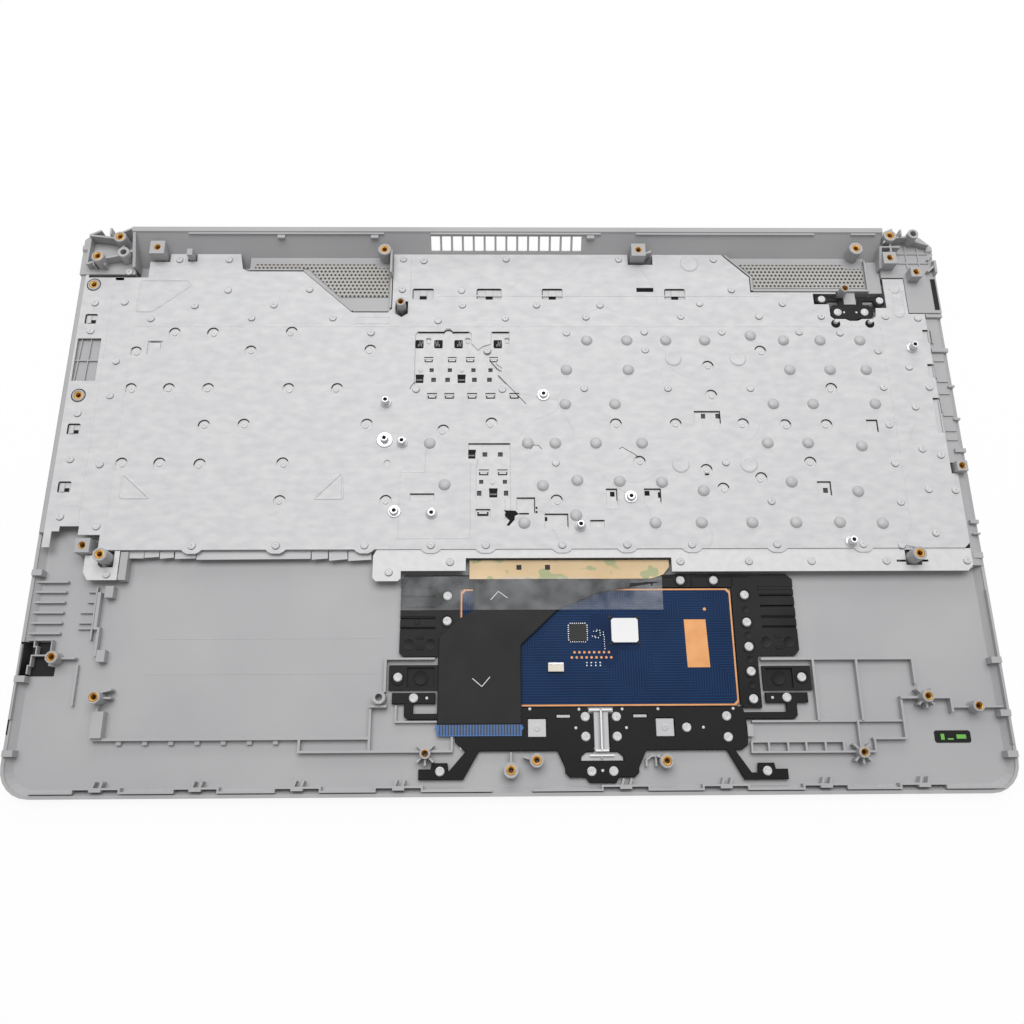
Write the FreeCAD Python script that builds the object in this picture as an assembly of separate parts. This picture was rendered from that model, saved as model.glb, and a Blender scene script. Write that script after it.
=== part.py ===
import FreeCAD, Part
import math
import os

# Laptop palm rest and keyboard upper cover, lying face down with its inside up.
# Millimetres. X runs to the right as seen from the front edge, Y to the rear, Z up.
# The palm rest's outer face lies on z = 0.

# Driving sizes of the cover. Places in the plan are drawn for this width and depth,
# and the helpers spread them when the cover grows or shrinks; heights stay.
WIDTH = 415.4
DEPTH = 262.8
DRAWN_WIDTH = 415.4
DRAWN_DEPTH = 262.8
SPREAD_X = WIDTH / DRAWN_WIDTH
SPREAD_Y = DEPTH / DRAWN_DEPTH
HALF_W = DRAWN_WIDTH / 2
REAR = DRAWN_DEPTH / 2
FRONT = -REAR
SKIN = 1.6
RIM_TOP = 4.6
RIM_WALL = 1.4
RIM_SLOPE = 2.4
WALL_TOP = 5.4
REAR_TOP = 14.5
CORNER_TOP = 7.0
CORNER_FRONT = 13.0

# Heights of the layers that are stacked on the key deck
DECK_LOW = 1.2
DECK_TOP = 2.4
CAP_LOW = 0.3
SHEET_LOW = 3.2
PLATE_LOW = 5.9
SHIELD_LOW = 6.5
SHIELD_TOP = 7.0
HEAD = 0.5
FIELD_TOP = 5.6

# Keyboard field: five full rows and a half-height row at the rear, which share its depth
KEYS_LEFT = -178.0
KEYS_RIGHT = 177.0
KEYS_FRONT = -27.0
KEYS_REAR = 82.0
ROWS_AND_GAPS = 5.7218
PITCH = (KEYS_REAR - KEYS_FRONT) / ROWS_AND_GAPS
FIRST_ROW = KEYS_FRONT + PITCH * 0.5512
KEY_GAP = 2.6

# Touchpad and click buttons
PAD_LEFT = -22.5
PAD_RIGHT = 95.2
PAD_FRONT = -95.7
PAD_REAR = -45.2
BUTTON_FRONT = -112.6
BUTTON_REAR = -97.6
BUTTON_SPLIT = 36.5
BUTTON_BAR = 4.4
BUTTON_LOW = 2.4
BUTTON_TOP = 3.6
BRACKET_TOP = 3.4

# Power button
POWER_X = 164.0
POWER_Y = 89.8
POWER_R = 6.0
POWER_LOW = 5.4
POWER_TOP = 6.4

# The sloping rear wall: its inner face is the line y = z + SLOPE_IN
SLOPE_IN = REAR - REAR_TOP - 2.0
SLOPE_OUT = SLOPE_IN + 2.2


def spot(x, y, z):
    # A drawn place, spread to the width and depth of the cover.
    return FreeCAD.Vector(x * SPREAD_X, y * SPREAD_Y, z)


def box(x0, x1, y0, y1, z0, z1):
    # A plain block between two opposite corners.
    return Part.makeBox((x1 - x0) * SPREAD_X, (y1 - y0) * SPREAD_Y, z1 - z0, spot(x0, y0, z0))


def loop(points, z):
    # A closed wire through points of one height.
    corners = [spot(x, y, z) for x, y in points]
    return Part.makePolygon(corners + [corners[0]])


def rect(x0, x1, y0, y1):
    return [(x0, y0), (x1, y0), (x1, y1), (x0, y1)]


def cut_corners(x0, x1, y0, y1, c):
    # A rectangle with its four corners cut at 45 degrees.
    return [(x0 + c, y0), (x1 - c, y0), (x1, y0 + c), (x1, y1 - c),
            (x1 - c, y1), (x0 + c, y1), (x0, y1 - c), (x0, y0 + c)]


def ngon(x, y, r, n=8):
    # A regular polygon with flats facing the axes; r is its corner radius.
    turn = math.pi / n
    return [(x + r * math.cos(turn + 2 * math.pi * i / n),
             y + r * math.sin(turn + 2 * math.pi * i / n)) for i in range(n)]


def slab(outline, z0, z1, holes=()):
    # A flat plate with through holes, pushed up from its lower face.
    face = Part.Face([loop(outline, z0)] + [loop(h, z0) for h in holes])
    return face.extrude(FreeCAD.Vector(0, 0, z1 - z0))


def rib(x0, y0, x1, y1, z0, z1, t=1.0):
    # A straight thin wall along the line from one point to the other.
    length = math.hypot(x1 - x0, y1 - y0)
    px = -(y1 - y0) / length * t / 2
    py = (x1 - x0) / length * t / 2
    return slab([(x0 - px, y0 - py), (x1 - px, y1 - py), (x1 + px, y1 + py), (x0 + px, y0 + py)], z0, z1)


def cylinder(x, y, r, z0, z1):
    return Part.makeCylinder(r, z1 - z0, spot(x, y, z0))


def bar_along_x(profile, x0, x1):
    # A bar with a section given as points of Y and Z.
    corners = [spot(x0, y, z) for y, z in profile]
    face = Part.Face(Part.makePolygon(corners + [corners[0]]))
    return face.extrude(spot(x1 - x0, 0, 0))


def bar_along_y(profile, y0, y1):
    # A bar with a section given as points of X and Z.
    corners = [spot(x, y0, z) for x, z in profile]
    face = Part.Face(Part.makePolygon(corners + [corners[0]]))
    return face.extrude(spot(0, y1 - y0, 0))


def joined(first, others):
    # One solid from a body and all that grows from it.
    result = first.fuse(list(others)).removeSplitter()
    return result.Solids[0] if len(result.Solids) == 1 else result


def save(name, shape):
    shape.exportStep("parts/" + name + ".step")


# Key layout. The number pad is at the left, because the cover lies face down.
# Each row is a list of key widths in units of the pitch, from left to right.
PAD_ROWS = {
    0: [2, 1, 1],
    1: [1, 1, 1, 1],
    2: [1, 1, 1, 1],
    3: [1, 1, 1, 1],
    4: [1, 1, 1, 1],
}
MAIN_ROWS = {
    0: [1, 1, 1, 1, 1, 5, 1, 1, 1, 1.25],
    1: [2.5, 1, 1, 1, 1, 1, 1, 1, 1, 1, 1, 1.75],
    2: [2, 1, 1, 1, 1, 1, 1, 1, 1, 1, 1, 1.25],
    3: [1.5, 1, 1, 1, 1, 1, 1, 1, 1, 1, 1, 1, 1.0],
    4: [1.75, 1, 1, 1, 1, 1, 1, 1, 1, 1, 1, 1, 1],
}
FUNCTION_KEYS = 18


def key_places():
    # The centre and size of each key cap, as x, y, width and depth.
    places = []
    pad_width = 4 * PITCH
    main_left = KEYS_LEFT + pad_width + 3.0
    main_span = KEYS_RIGHT - main_left
    for row in range(5):
        y = FIRST_ROW + row * PITCH
        x = KEYS_LEFT
        for units in PAD_ROWS[row]:
            places.append((x + units * PITCH / 2, y, units * PITCH - KEY_GAP, PITCH - KEY_GAP))
            x += units * PITCH
        widths = MAIN_ROWS[row]
        unit = main_span / sum(widths)
        x = main_left
        for units in widths:
            places.append((x + units * unit / 2, y, units * unit - KEY_GAP, PITCH - KEY_GAP))
            x += units * unit
    step = (KEYS_RIGHT - KEYS_LEFT) / FUNCTION_KEYS
    y = FIRST_ROW + 4.5 * PITCH + 4.9
    for i in range(FUNCTION_KEYS):
        places.append((KEYS_LEFT + (i + 0.5) * step, y, step - KEY_GAP, 8.2))
    return places


# Screw bosses of the cover: x, y, outer radius and height of the top
FRONT_BOSSES = [(-36.0, -114.5, 2.2, 7.4), (-1.0, -121.3, 3.2, 7.0), (9.5, -117.5, 2.9, 7.4),
                (62.5, -118.0, 2.9, 7.4), (143.5, -115.0, 2.3, 7.4), (172.5, -92.7, 2.5, 9.0),
                (-172.2, -91.5, 2.7, 9.0), (-192.5, -74.8, 2.6, 8.0), (193.5, -96.7, 2.4, 8.0)]
TALL_BOSSES = [(-176.0, -32.0, 3.0, 13.5), (176.0, -32.5, 3.0, 13.5)]
REAR_BOSSES = [(-60.5, 120.0, 3.1, 13.0), (168.0, 121.0, 3.3, 13.0), (160.5, 99.8, 2.0, 11.5),
               (-52.0, 92.0, 2.2, 12.0), (-197.0, 115.5, 2.9, 13.8), (-187.5, 126.0, 2.9, 14.2),
               (185.0, 127.5, 3.1, 14.2)]
LOW_BOSSES = [(-200.0, 104.0, 2.9, 7.2), (-199.0, 45.5, 2.9, 7.2)]
BLOCK_BOSSES = [(-169.5, 121.0, 3.5, 13.0), (62.0, 120.0, 3.4, 13.0), (184.0, 116.0, 3.2, 12.6),
                (196.0, 108.5, 2.6, 12.0), (203.0, 9.2, 2.4, 10.0), (-185.8, -26.8, 3.2, 9.5)]
EMPTY_BOSSES = [(-55.6, -92.0, 2.8, 7.6), (-185.2, 118.0, 2.8, 13.4), (196.5, 128.5, 2.6, 14.2)]
INSERT_OUT = 1.7
INSERT_BORE = 0.8
INSERT_DEEP = 4.0


def cover_outline(inset):
    # The plan of the cover: rounded front corners, and a straight rear edge under the slope.
    r = CORNER_FRONT - inset
    w = HALF_W - inset
    f = FRONT + inset
    points = []
    for cx, start in ((-w + r, 180), (w - r, 270)):
        for i in range(7):
            a = math.radians(start + i * 15)
            points.append((cx + r * math.cos(a), f + r + r * math.sin(a)))
    return points + [(w, SLOPE_OUT), (-w, SLOPE_OUT)]


def low_edges(shape, z):
    # The edges of one level, all but the rear one.
    return [e for e in shape.Edges if abs(e.BoundBox.ZMax - z) < 0.01 and abs(e.BoundBox.ZMin - z) < 0.01
            and not e.BoundBox.YMin > (SLOPE_OUT - 1) * SPREAD_Y]


def cover_shell():
    # The palm-rest skin turns up along the front and sides into a rim that slopes inside and out.
    outer = slab(cover_outline(0.0), 0, RIM_TOP)
    outer = outer.makeChamfer(1.2, low_edges(outer, 0))
    hollow = slab(cover_outline(RIM_WALL), SKIN, RIM_TOP + 5)
    hollow = hollow.makeChamfer(RIM_SLOPE, low_edges(hollow, SKIN))
    key_recess = box(KEYS_LEFT + 1, KEYS_RIGHT - 1, KEYS_FRONT + 1, KEYS_REAR - 1, -1, SKIN + 1)
    pad_window = box(PAD_LEFT + 1.2, PAD_RIGHT - 1.2, PAD_FRONT + 1.2, PAD_REAR - 1.2, -1, SKIN + 1)
    half_bar = BUTTON_BAR / 2
    left_button = box(PAD_LEFT + 0.5, BUTTON_SPLIT - half_bar, BUTTON_FRONT, BUTTON_REAR, -1, SKIN + 1)
    right_button = box(BUTTON_SPLIT + half_bar, PAD_RIGHT + 1, BUTTON_FRONT, BUTTON_REAR, -1, SKIN + 1)
    power_window = slab(ngon(POWER_X, POWER_Y, POWER_R + 0.3, 12), -1, SKIN + 1)
    return outer.cut([hollow, key_recess, pad_window, left_button, right_button, power_window])


def key_deck():
    # The recessed lattice with one window for each key.
    holes = []
    for x, y, w, d in key_places():
        holes.append(rect(x - w / 2 - 0.4, x + w / 2 + 0.4, y - d / 2 - 0.4, y + d / 2 + 0.4))
    return slab(rect(KEYS_LEFT, KEYS_RIGHT, KEYS_FRONT, KEYS_REAR), DECK_LOW, DECK_TOP, holes)


VENT_COUNT = 14
VENT_PITCH = 5.3
VENT_LEFT = -38.4
VENT_WIDE = 4.3


def rear_wall():
    # The wall slopes up at 45 degrees to the rear edge and carries the air slots.
    profile = [(SLOPE_IN, 0), (SLOPE_OUT, 0), (REAR, REAR_TOP - 0.3), (REAR, REAR_TOP),
               (REAR - 2.4, REAR_TOP), (REAR - 3.0, REAR_TOP - 1.0), (SLOPE_IN + SKIN, SKIN), (SLOPE_IN, SKIN)]
    wall = bar_along_x(profile, -HALF_W, HALF_W)
    low = 7.7
    high = 12.6
    slot = [(low + SLOPE_IN - 2, low + 2), (high + SLOPE_IN - 2, high + 2),
            (high + SLOPE_IN + 4, high - 4), (low + SLOPE_IN + 4, low - 4)]
    cuts = []
    for i in range(VENT_COUNT):
        x = VENT_LEFT + i * VENT_PITCH
        cuts.append(bar_along_x(slot, x, x + VENT_WIDE))
    # The hinges of the screen pass through the two notches.
    for x0, x1 in ((-204.5, -182.0), (181.5, 204.5)):
        cuts.append(box(x0, x1, SLOPE_IN + 5.0, REAR + 1, 4.5, REAR_TOP + 1))
    for x0, x1 in ((-210.0, -204.0), (204.0, 210.0)):
        cuts.append(box(x0, x1, SLOPE_IN, REAR + 1, CORNER_TOP + 1, REAR_TOP + 1))
    # A catch lip runs along the top in four lengths.
    wall = wall.cut(cuts)
    lips = []
    for x0, x1 in ((-155, -61), (-38.5, 44), (61, 148), (166, 178)):
        lips.append(box(x0, x1, REAR - 3.6, REAR - 2.2, REAR_TOP - 1.4, REAR_TOP - 0.5))
    for x in (-110.5, -65.5, 39.0):
        lips.append(box(x - 1.8, x + 1.8, REAR - 5.4, REAR - 3.2, REAR_TOP - 2.2, REAR_TOP - 0.9))
    return wall.fuse(lips)


def side_walls():
    # Ledges beside the shield, a thin lip along the palm area, and the snap catches for the base.
    left = -HALF_W
    right = HALF_W
    z = SKIN - 0.4
    parts = [
        bar_along_y([(left + 2.9, z), (left + 2.9, 6.2), (left + 1.2, 6.2), (left + 0.1, 5.0), (left + 0.1, z)],
                    -20.0, SLOPE_IN),
        bar_along_y([(right - 8.2, z), (right - 8.2, 6.3), (right - 2.6, 6.3), (right - 0.3, 4.8), (right - 0.3, z)],
                    12.0, 90.0),
        bar_along_y([(right - 5.4, z), (right - 5.4, 6.0), (right - 2.2, 5.6), (right - 0.3, 4.8), (right - 0.3, z)],
                    -36.0, 12.0),
        box(left + 0.7, left + 1.5, -100.0, -69.0, 3.0, 5.8),
        box(right - 1.7, right - 0.9, -112.0, -47.0, 3.0, 5.8),
    ]
    for y in (-38.0, -83.5, -113.5):
        parts.append(box(left + 0.4, left + 4.8, y - 1.3, y + 1.3, 0.8, 6.2))
    parts.append(box(left + 0.4, left + 15.5, -42.0, -41.2, z, 3.6))
    for y in (-31.5, -77.5, -99.5, -116.0):
        parts.append(box(right - 4.8, right - 0.4, y - 1.3, y + 1.3, 0.8, 6.2))
    # Hooks and thin ribs on the right ledge, level with the shield.
    for y, x0, deep in ((87.0, 8.2, 1.6), (68.6, 8.2, 1.8), (49.8, 3.4, 1.0), (33.2, 3.4, 1.0), (17.6, 5.4, 1.8),
                        (-16.5, 4.2, 1.6), (-22.0, 3.8, 0.6)):
        parts.append(box(right - x0, right - 0.5, y - deep / 2, y + deep / 2, z, 7.6))
    for y in (63.3, 52.5, 46.2, 35.2, 27.5, 23.0):
        parts.append(box(right - 7.6, right - 2.8, y - 0.3, y + 0.3, z, 6.9))
    for x, y in ((right - 7.0, 79.4), (right - 8.1, 61.2), (right - 8.1, 43.8)):
        parts.append(box(x - 0.3, x + 0.3, y - 7.0, y, 4.0, 7.4))
    return parts


def rear_corners():
    # Platforms that fill both rear corners level with the shield, and carry the hinge bosses.
    left = -HALF_W
    right = HALF_W
    low = CORNER_TOP - 1.6
    parts = [
        slab([(left, SLOPE_IN - 5.2), (-181.0, SLOPE_IN - 5.2), (-181.0, REAR), (left + 2.5, REAR),
              (left, REAR - 2.5)], low, CORNER_TOP),
        slab([(191.8, SLOPE_IN - 26.0), (right, SLOPE_IN - 26.0), (right, REAR - 5.0), (right - 5.0, REAR),
              (181.0, REAR), (181.0, SLOPE_IN - 6.6), (191.8, SLOPE_IN - 6.6)], low, CORNER_TOP),
        box(left, left + 1.2, SLOPE_IN - 5.2, SLOPE_IN + 8.0, 1.2, CORNER_TOP),
        box(right - 1.2, right, SLOPE_IN - 26.0, SLOPE_IN + 8.0, 1.2, CORNER_TOP),
        box(left + 4.0, -181.0, SLOPE_IN - 5.2, SLOPE_IN - 4.2, SKIN - 0.4, CORNER_TOP - 1),
        box(191.8, right - 1.0, SLOPE_IN - 26.0, SLOPE_IN - 25.0, SKIN - 0.4, CORNER_TOP - 1),
        box(191.8, 192.8, SLOPE_IN - 26.0, SLOPE_IN - 4.0, SKIN - 0.4, CORNER_TOP - 1),
        # The right corner's outer wall steps up beside the hinge.
        bar_along_x([(SLOPE_IN - 6.0, CORNER_TOP - 1), (SLOPE_IN - 5.0, 9.6), (SLOPE_IN + 1.4, 9.9),
                     (SLOPE_IN + 2.2, CORNER_TOP - 1)], right - 1.1, right),
        rib(right - 4.6, SLOPE_IN - 4.4, right - 0.6, SLOPE_IN - 1.0, CORNER_TOP - 1, 9.4, 1.0),
        rib(right - 3.2, SLOPE_IN + 2.6, right - 0.4, SLOPE_IN + 6.0, CORNER_TOP - 1, 8.4, 0.8),
    ]
    # Low cross ribs on the right platform.
    for y in (SLOPE_IN + 1.4, SLOPE_IN + 6.6):
        parts.append(box(190.0, right - 2.4, y - 0.3, y + 0.3, CORNER_TOP - 1, CORNER_TOP + 0.5))
    for x in (right - 13.2, right - 7.2):
        parts.append(box(x - 0.3, x + 0.3, SLOPE_IN - 1.5, REAR - 5.0, CORNER_TOP - 1, CORNER_TOP + 0.5))
    return parts


# The speakers' raised fields, and the recess that each has on the outer side.
LEFT_FIELD = [(-126.4, 112.4), (-126.4, 120.0), (-57.0, 120.0), (-57.0, 89.8), (-75.4, 89.8), (-99.9, 112.4)]
RIGHT_FIELD = [(105.4, 120.0), (174.0, 120.0), (174.0, 101.0), (117.0, 101.0), (117.0, 109.0)]
LEFT_RECESS = [(-124.8, 114.2), (-124.8, 115.4), (-58.6, 115.4), (-58.6, 91.4), (-74.8, 91.4), (-99.2, 114.2)]
RIGHT_RECESS = [(112.8, 115.4), (172.4, 115.4), (172.4, 102.6), (118.6, 102.6), (118.6, 109.8)]


def speaker_ridges():
    # A ridge frames each speaker's raised field, and a ledge lies beside the right one.
    z = SKIN - 0.4
    top = SHIELD_TOP + 0.3
    return [
        slab(LEFT_FIELD, z, FIELD_TOP),
        slab(RIGHT_FIELD, z, FIELD_TOP),
        box(117.6, 173.8, 100.6, 101.4, z, top),
        box(173.2, 174.0, 100.6, SLOPE_IN + 3.0, z, top),
        rib(105.2, 120.6, 117.0, 108.8, z, top, 0.8),
        rib(117.0, 109.2, 117.0, 101.0, z, top, 0.8),
        box(173.8, 180.8, 100.4, SLOPE_IN + 3.0, z, FIELD_TOP),
        box(-57.8, -57.0, 91.5, 108.0, z, top),
        box(-75.0, -58.6, 89.4, 90.2, z, top),
        rib(-75.6, 89.8, -99.8, 112.0, z, top, 0.8),
        box(-126.4, -100.2, 112.0, 112.8, z, top),
    ]


FRONT_LEFT_ENDS = [-194.5, -177.5, -158.5, -137.0, -119.0, -96.5, -78.0, -56.0, -37.0, -9.0]
FRONT_RIGHT_ENDS = [8.0, 36.0, 55.0, 77.0, 95.5, 118.0, 136.0, 157.5, 176.5, 199.5]


def front_walls():
    # The snap wall steps in and out along the front edge. The inner lengths carry catches.
    parts = []
    z = SKIN - 0.4
    y_out = FRONT + 2.3
    y_in = FRONT + 3.9
    for ends in (FRONT_LEFT_ENDS, FRONT_RIGHT_ENDS[::-1]):
        for i in range(len(ends) - 1):
            a, b = sorted((ends[i], ends[i + 1]))
            inner = i % 2 == 1
            y = y_in if inner else y_out
            parts.append(box(a - 0.4, b + 0.4, y - 0.4, y + 0.4, z, WALL_TOP))
            if inner:
                middle = (a + b) / 2
                parts.append(box(a - 0.4, a + 0.4, y_out, y_in, z, WALL_TOP))
                parts.append(box(b - 0.4, b + 0.4, y_out, y_in, z, WALL_TOP))
                parts.append(box(middle - 2.4, middle + 2.4, y_in - 1.3, y_in - 0.3, z, WALL_TOP + 0.6))
                for x in (middle - 1.6, middle + 1.6):
                    parts.append(rib(x, y_in, x + 0.9, y_in + 2.8, z, WALL_TOP, 0.8))
    return parts


def key_frame_walls():
    # A low ring of walls round the key deck carries the plates, and ribs carry the shield.
    z = SKIN - 0.4
    parts = [
        box(KEYS_LEFT - 1.5, KEYS_RIGHT + 1.5, KEYS_FRONT - 1.5, KEYS_FRONT - 0.5, z, PLATE_LOW),
        box(KEYS_LEFT - 1.5, KEYS_RIGHT + 1.5, KEYS_REAR + 0.5, KEYS_REAR + 1.5, z, PLATE_LOW),
        box(KEYS_LEFT - 1.5, KEYS_LEFT - 0.5, KEYS_FRONT - 1.5, KEYS_REAR + 1.5, z, PLATE_LOW),
        box(KEYS_RIGHT + 0.5, KEYS_RIGHT + 1.5, KEYS_FRONT - 1.5, KEYS_REAR + 1.5, z, PLATE_LOW),
    ]
    # Shelves under the shield: side strips and the rear strip.
    for y in (-12.0, 19.0, 40.0, 92.0):
        parts.append(box(-204.0, -190.0, y - 0.5, y + 0.5, z, SHIELD_LOW))
    for y in (-20.0, 6.0, 30.0, 50.0, 68.0):
        parts.append(box(183.0, 195.5, y - 0.5, y + 0.5, z, SHIELD_LOW))
    # A raised, ribbed field fills the large window of the shield's side strip.
    parts.append(box(-205.5, -191.5, 52.0, 76.0, z, 5.4))
    for x0, x1 in ((-201.6, -202.6), (-197.3, -197.9)):
        parts.append(rib(x0, 75.5, x1, 53.0, z, 6.2, 0.5))
    parts.append(box(-203.4, -192.5, 63.6, 64.2, z, 6.2))
    for x in (-183.0, -145.0, -115.0, -33.0, 0.0, 30.0, 52.0, 103.0, 140.0):
        parts.append(box(x - 0.5, x + 0.5, 84.5, 98.0, z, SHIELD_LOW))
    for x in (-160.0, -136.0, -40.0, -25.0, 7.0, 35.0, 72.0):
        parts.append(box(x - 0.5, x + 0.5, 106.0, SLOPE_IN + 3, z, SHIELD_LOW))
    # The strip over the front ledge is held by the wall and by these short ribs.
    for x in (-54.0, -27.0, 85.0, 105.0, 131.0, 153.0, 190.0):
        parts.append(box(x - 0.5, x + 0.5, -36.5, -28.0, z, PLATE_LOW))
    parts.append(box(101.0, 202.0, -37.2, -36.2, z, PLATE_LOW))
    parts.append(box(-184.0, -170.0, -40.0, -39.0, z, PLATE_LOW))
    parts.append(box(-170.0, -166.8, -41.5, -29.0, z, 6.3))
    return parts


def palm_ribs():
    # Ribs, rails and gussets on the open palm-rest floor.
    z = SKIN - 0.4
    low = 4.2
    parts = []
    for y in (-46.0, -50.5, -55.0, -59.5, -64.0):
        parts.append(box(-206.0, -192.5, y - 0.4, y + 0.4, z, 3.4))
    for y in (-46.0, -50.5):
        parts.append(box(-183.0, -179.0, y - 0.3, y + 0.3, z, 3.0))
    for y in (-55.0, -59.5, -62.0):
        parts.append(box(-185.5, -179.0, y - 0.3, y + 0.3, z, 3.0))
    parts += [
        box(-179.6, -178.9, -67.0, -44.0, z, 3.6),
        box(-178.3, -176.9, -62.5, -46.5, z, 4.6),
        box(-176.5, -175.5, -74.0, -62.0, z, 4.6),
        box(-178.0, -175.5, -62.7, -61.7, z, 4.6),
        box(-175.0, -171.5, -49.0, -44.0, z, 5.4),
        box(-175.0, -171.5, -76.5, -71.5, z, 5.4),
        box(-183.6, -182.8, -94.5, -77.5, z, 3.4),
        box(-173.2, -168.5, -107.7, -97.0, z, 5.8),
        rib(-172.2, -91.5, -172.2, -97.5, z, 4.4, 1.2),
    ]
    # The long wall that stops the palm-side board, with its row of gussets.
    parts.append(box(-173.2, -59.5, -108.7, -107.7, z, low))
    for i in range(7):
        x = -162.0 + i * 10.7
        parts.append(box(x - 1.0, x + 1.0, -110.4, -108.2, z, 3.2))
    parts += [
        box(-59.8, -58.8, -113.8, -95.0, z, low),
        box(-59.8, -52.5, -95.9, -94.9, z, 5.4),
        box(-88.5, -87.5, -114.0, -108.0, z, low),
        box(-88.5, -25.0, -114.0, -113.0, z, low),
        box(-25.8, -24.8, -114.0, -107.0, z, 3.4),
        box(-54.2, -53.2, -89.5, -75.2, z, low),
        box(-54.2, -33.0, -76.0, -75.2, z, low),
        box(-49.2, -48.4, -101.5, -94.9, z, 3.6),
        box(-49.2, -31.5, -102.0, -101.3, z, 3.6),
    ]
    # The frame of walls to the right of the touchpad.
    parts += [
        box(105.5, 170.5, -76.8, -75.8, z, low),
        box(127.0, 128.0, -102.0, -76.0, z, low),
        box(145.5, 146.5, -102.0, -76.0, z, low),
        box(169.5, 170.5, -87.0, -76.0, z, low),
        box(99.5, 163.0, -102.6, -101.8, z, 3.6),
        box(162.5, 163.5, -109.6, -92.6, z, low),
        box(162.5, 183.8, -93.3, -92.3, z, 5.0),
        box(149.0, 163.0, -109.8, -109.0, z, low),
        box(143.2, 144.0, -113.0, -102.0, z, low),
        box(149.3, 150.1, -114.5, -109.0, z, low),
        box(98.0, 150.0, -115.0, -114.2, z, low),
        box(98.5, 137.0, -110.8, -110.0, z, low),
        box(97.2, 99.6, -108.3, -103.5, z, low),
        box(183.2, 184.2, -98.8, -92.3, z, 5.0),
        box(183.5, HALF_W - 1.8, -97.1, -96.3, z, 4.2),
    ]
    for x in (98.5, 105.5, 113.5, 121.0, 129.0, 136.6):
        parts.append(box(x - 0.4, x + 0.4, -114.6, -110.4, z, low))
    return parts


def boss_stars():
    # Thin fins brace the free-standing screw bosses.
    z = SKIN - 0.4
    parts = []
    for x, y, reach, top in ((-36.0, -114.5, 4.8, 5.6), (143.5, -115.0, 4.8, 5.6), (172.5, -92.7, 4.6, 6.4)):
        for turn in (45, 135, 225, 315, 270):
            a = math.radians(turn)
            parts.append(rib(x + 1.6 * math.cos(a), y + 1.6 * math.sin(a),
                             x + reach * math.cos(a), y + reach * math.sin(a), z, top, 0.8))
    parts += [
        rib(-1.0, -118.5, -1.0, -114.2, z, 5.6, 0.8),
        rib(4.2, -116.0, 8.0, -117.2, z, 5.6, 0.8),
        rib(58.6, -115.8, 60.6, -116.6, z, 5.6, 0.8),
        rib(54.5, -120.0, 54.5, -117.4, z, 4.2, 0.8),
        rib(54.5, -117.4, 56.8, -115.8, z, 4.2, 0.8),
        rib(56.5, -115.8, 60.5, -115.8, z, 4.2, 0.8),
        rib(58.5, -120.0, 58.5, -115.8, z, 4.2, 0.8),
        rib(-172.0, -89.5, -166.5, -88.0, z, 6.0, 0.8),
        rib(-170.5, -91.5, -166.5, -91.5, z, 6.0, 0.8),
        rib(-190.5, -74.8, -184.0, -74.8, z, 4.6, 0.8),
        rib(-176.0, -34.4, -176.0, -35.8, z, 8.0, 0.9),
    ]
    return parts


def hinge_walls():
    # Thin walls tie the rear corner bosses together on the platforms, under the screen hinges.
    z = CORNER_TOP - 1.0
    parts = [
        rib(-203.0, 113.0, -203.0, 128.5, z, 11.0, 1.0),
        rib(-197.0, 115.5, -185.2, 118.0, z, 11.5, 1.0),
        rib(-187.5, 126.0, -185.2, 118.0, z, 11.5, 1.0),
        rib(-203.0, 128.0, -187.5, 126.0, z, 12.5, 0.9),
        rib(-203.0, 128.0, -197.5, 130.6, z, 12.5, 0.9),
        rib(-192.3, 127.5, -192.3, 131.0, z, 14.0, 0.8),
        rib(-186.4, 128.6, -181.6, 131.0, z, 14.2, 0.8),
        rib(-185.2, 118.0, -181.0, 120.5, z, 11.5, 1.0),
        rib(-203.0, 113.0, -197.0, 115.5, z, 11.0, 1.0),
        rib(-200.6, 118.0, -199.6, 112.4, z, 11.0, 0.8),
        rib(-196.0, 116.0, -194.2, 112.4, z, 11.0, 0.8),
        bar_along_x([(SLOPE_IN - 2.6, 1.2), (SLOPE_IN - 2.6, 9.4), (REAR - 2.4, REAR_TOP - 0.4),
                     (REAR, REAR_TOP - 0.4), (SLOPE_OUT + 1, 2.0)], -181.7, -180.3),
        bar_along_x([(SLOPE_IN - 2.6, 1.2), (SLOPE_IN - 2.6, 9.4), (122.4, 12.6), (122.4, 6.0),
                     (SLOPE_OUT + 1, 2.0)], 179.7, 180.9),
        rib(185.0, 127.5, 196.5, 128.5, z, 12.0, 1.0),
        rib(180.2, 122.5, 190.0, 122.5, z, 12.0, 0.8),
        rib(185.4, 118.0, 185.4, 127.0, z, 12.0, 0.8),
        rib(181.6, 124.0, 184.0, 126.6, z, 13.2, 0.8),
        rib(182.6, 129.2, 186.4, 131.0, z, 14.2, 0.8),
        rib(190.6, 128.0, 190.6, 131.0, z, 14.0, 0.8),
        rib(197.5, 127.0, 205.0, 124.6, z, 10.5, 0.8),
    ]
    z = SKIN - 0.4
    return parts + [
        rib(-57.2, 108.0, -57.2, 120.5, z, 12.0, 0.9),
        rib(-154.2, 117.4, -154.2, 120.8, z, 12.0, 2.6),
        rib(65.0, 119.0, 68.5, 120.5, z, 11.0, 1.0),
        box(161.4, 167.0, 96.2, 100.8, z, 6.2),
        box(161.4, 167.0, 94.0, 96.4, 3.4, 6.2),
    ]


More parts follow.
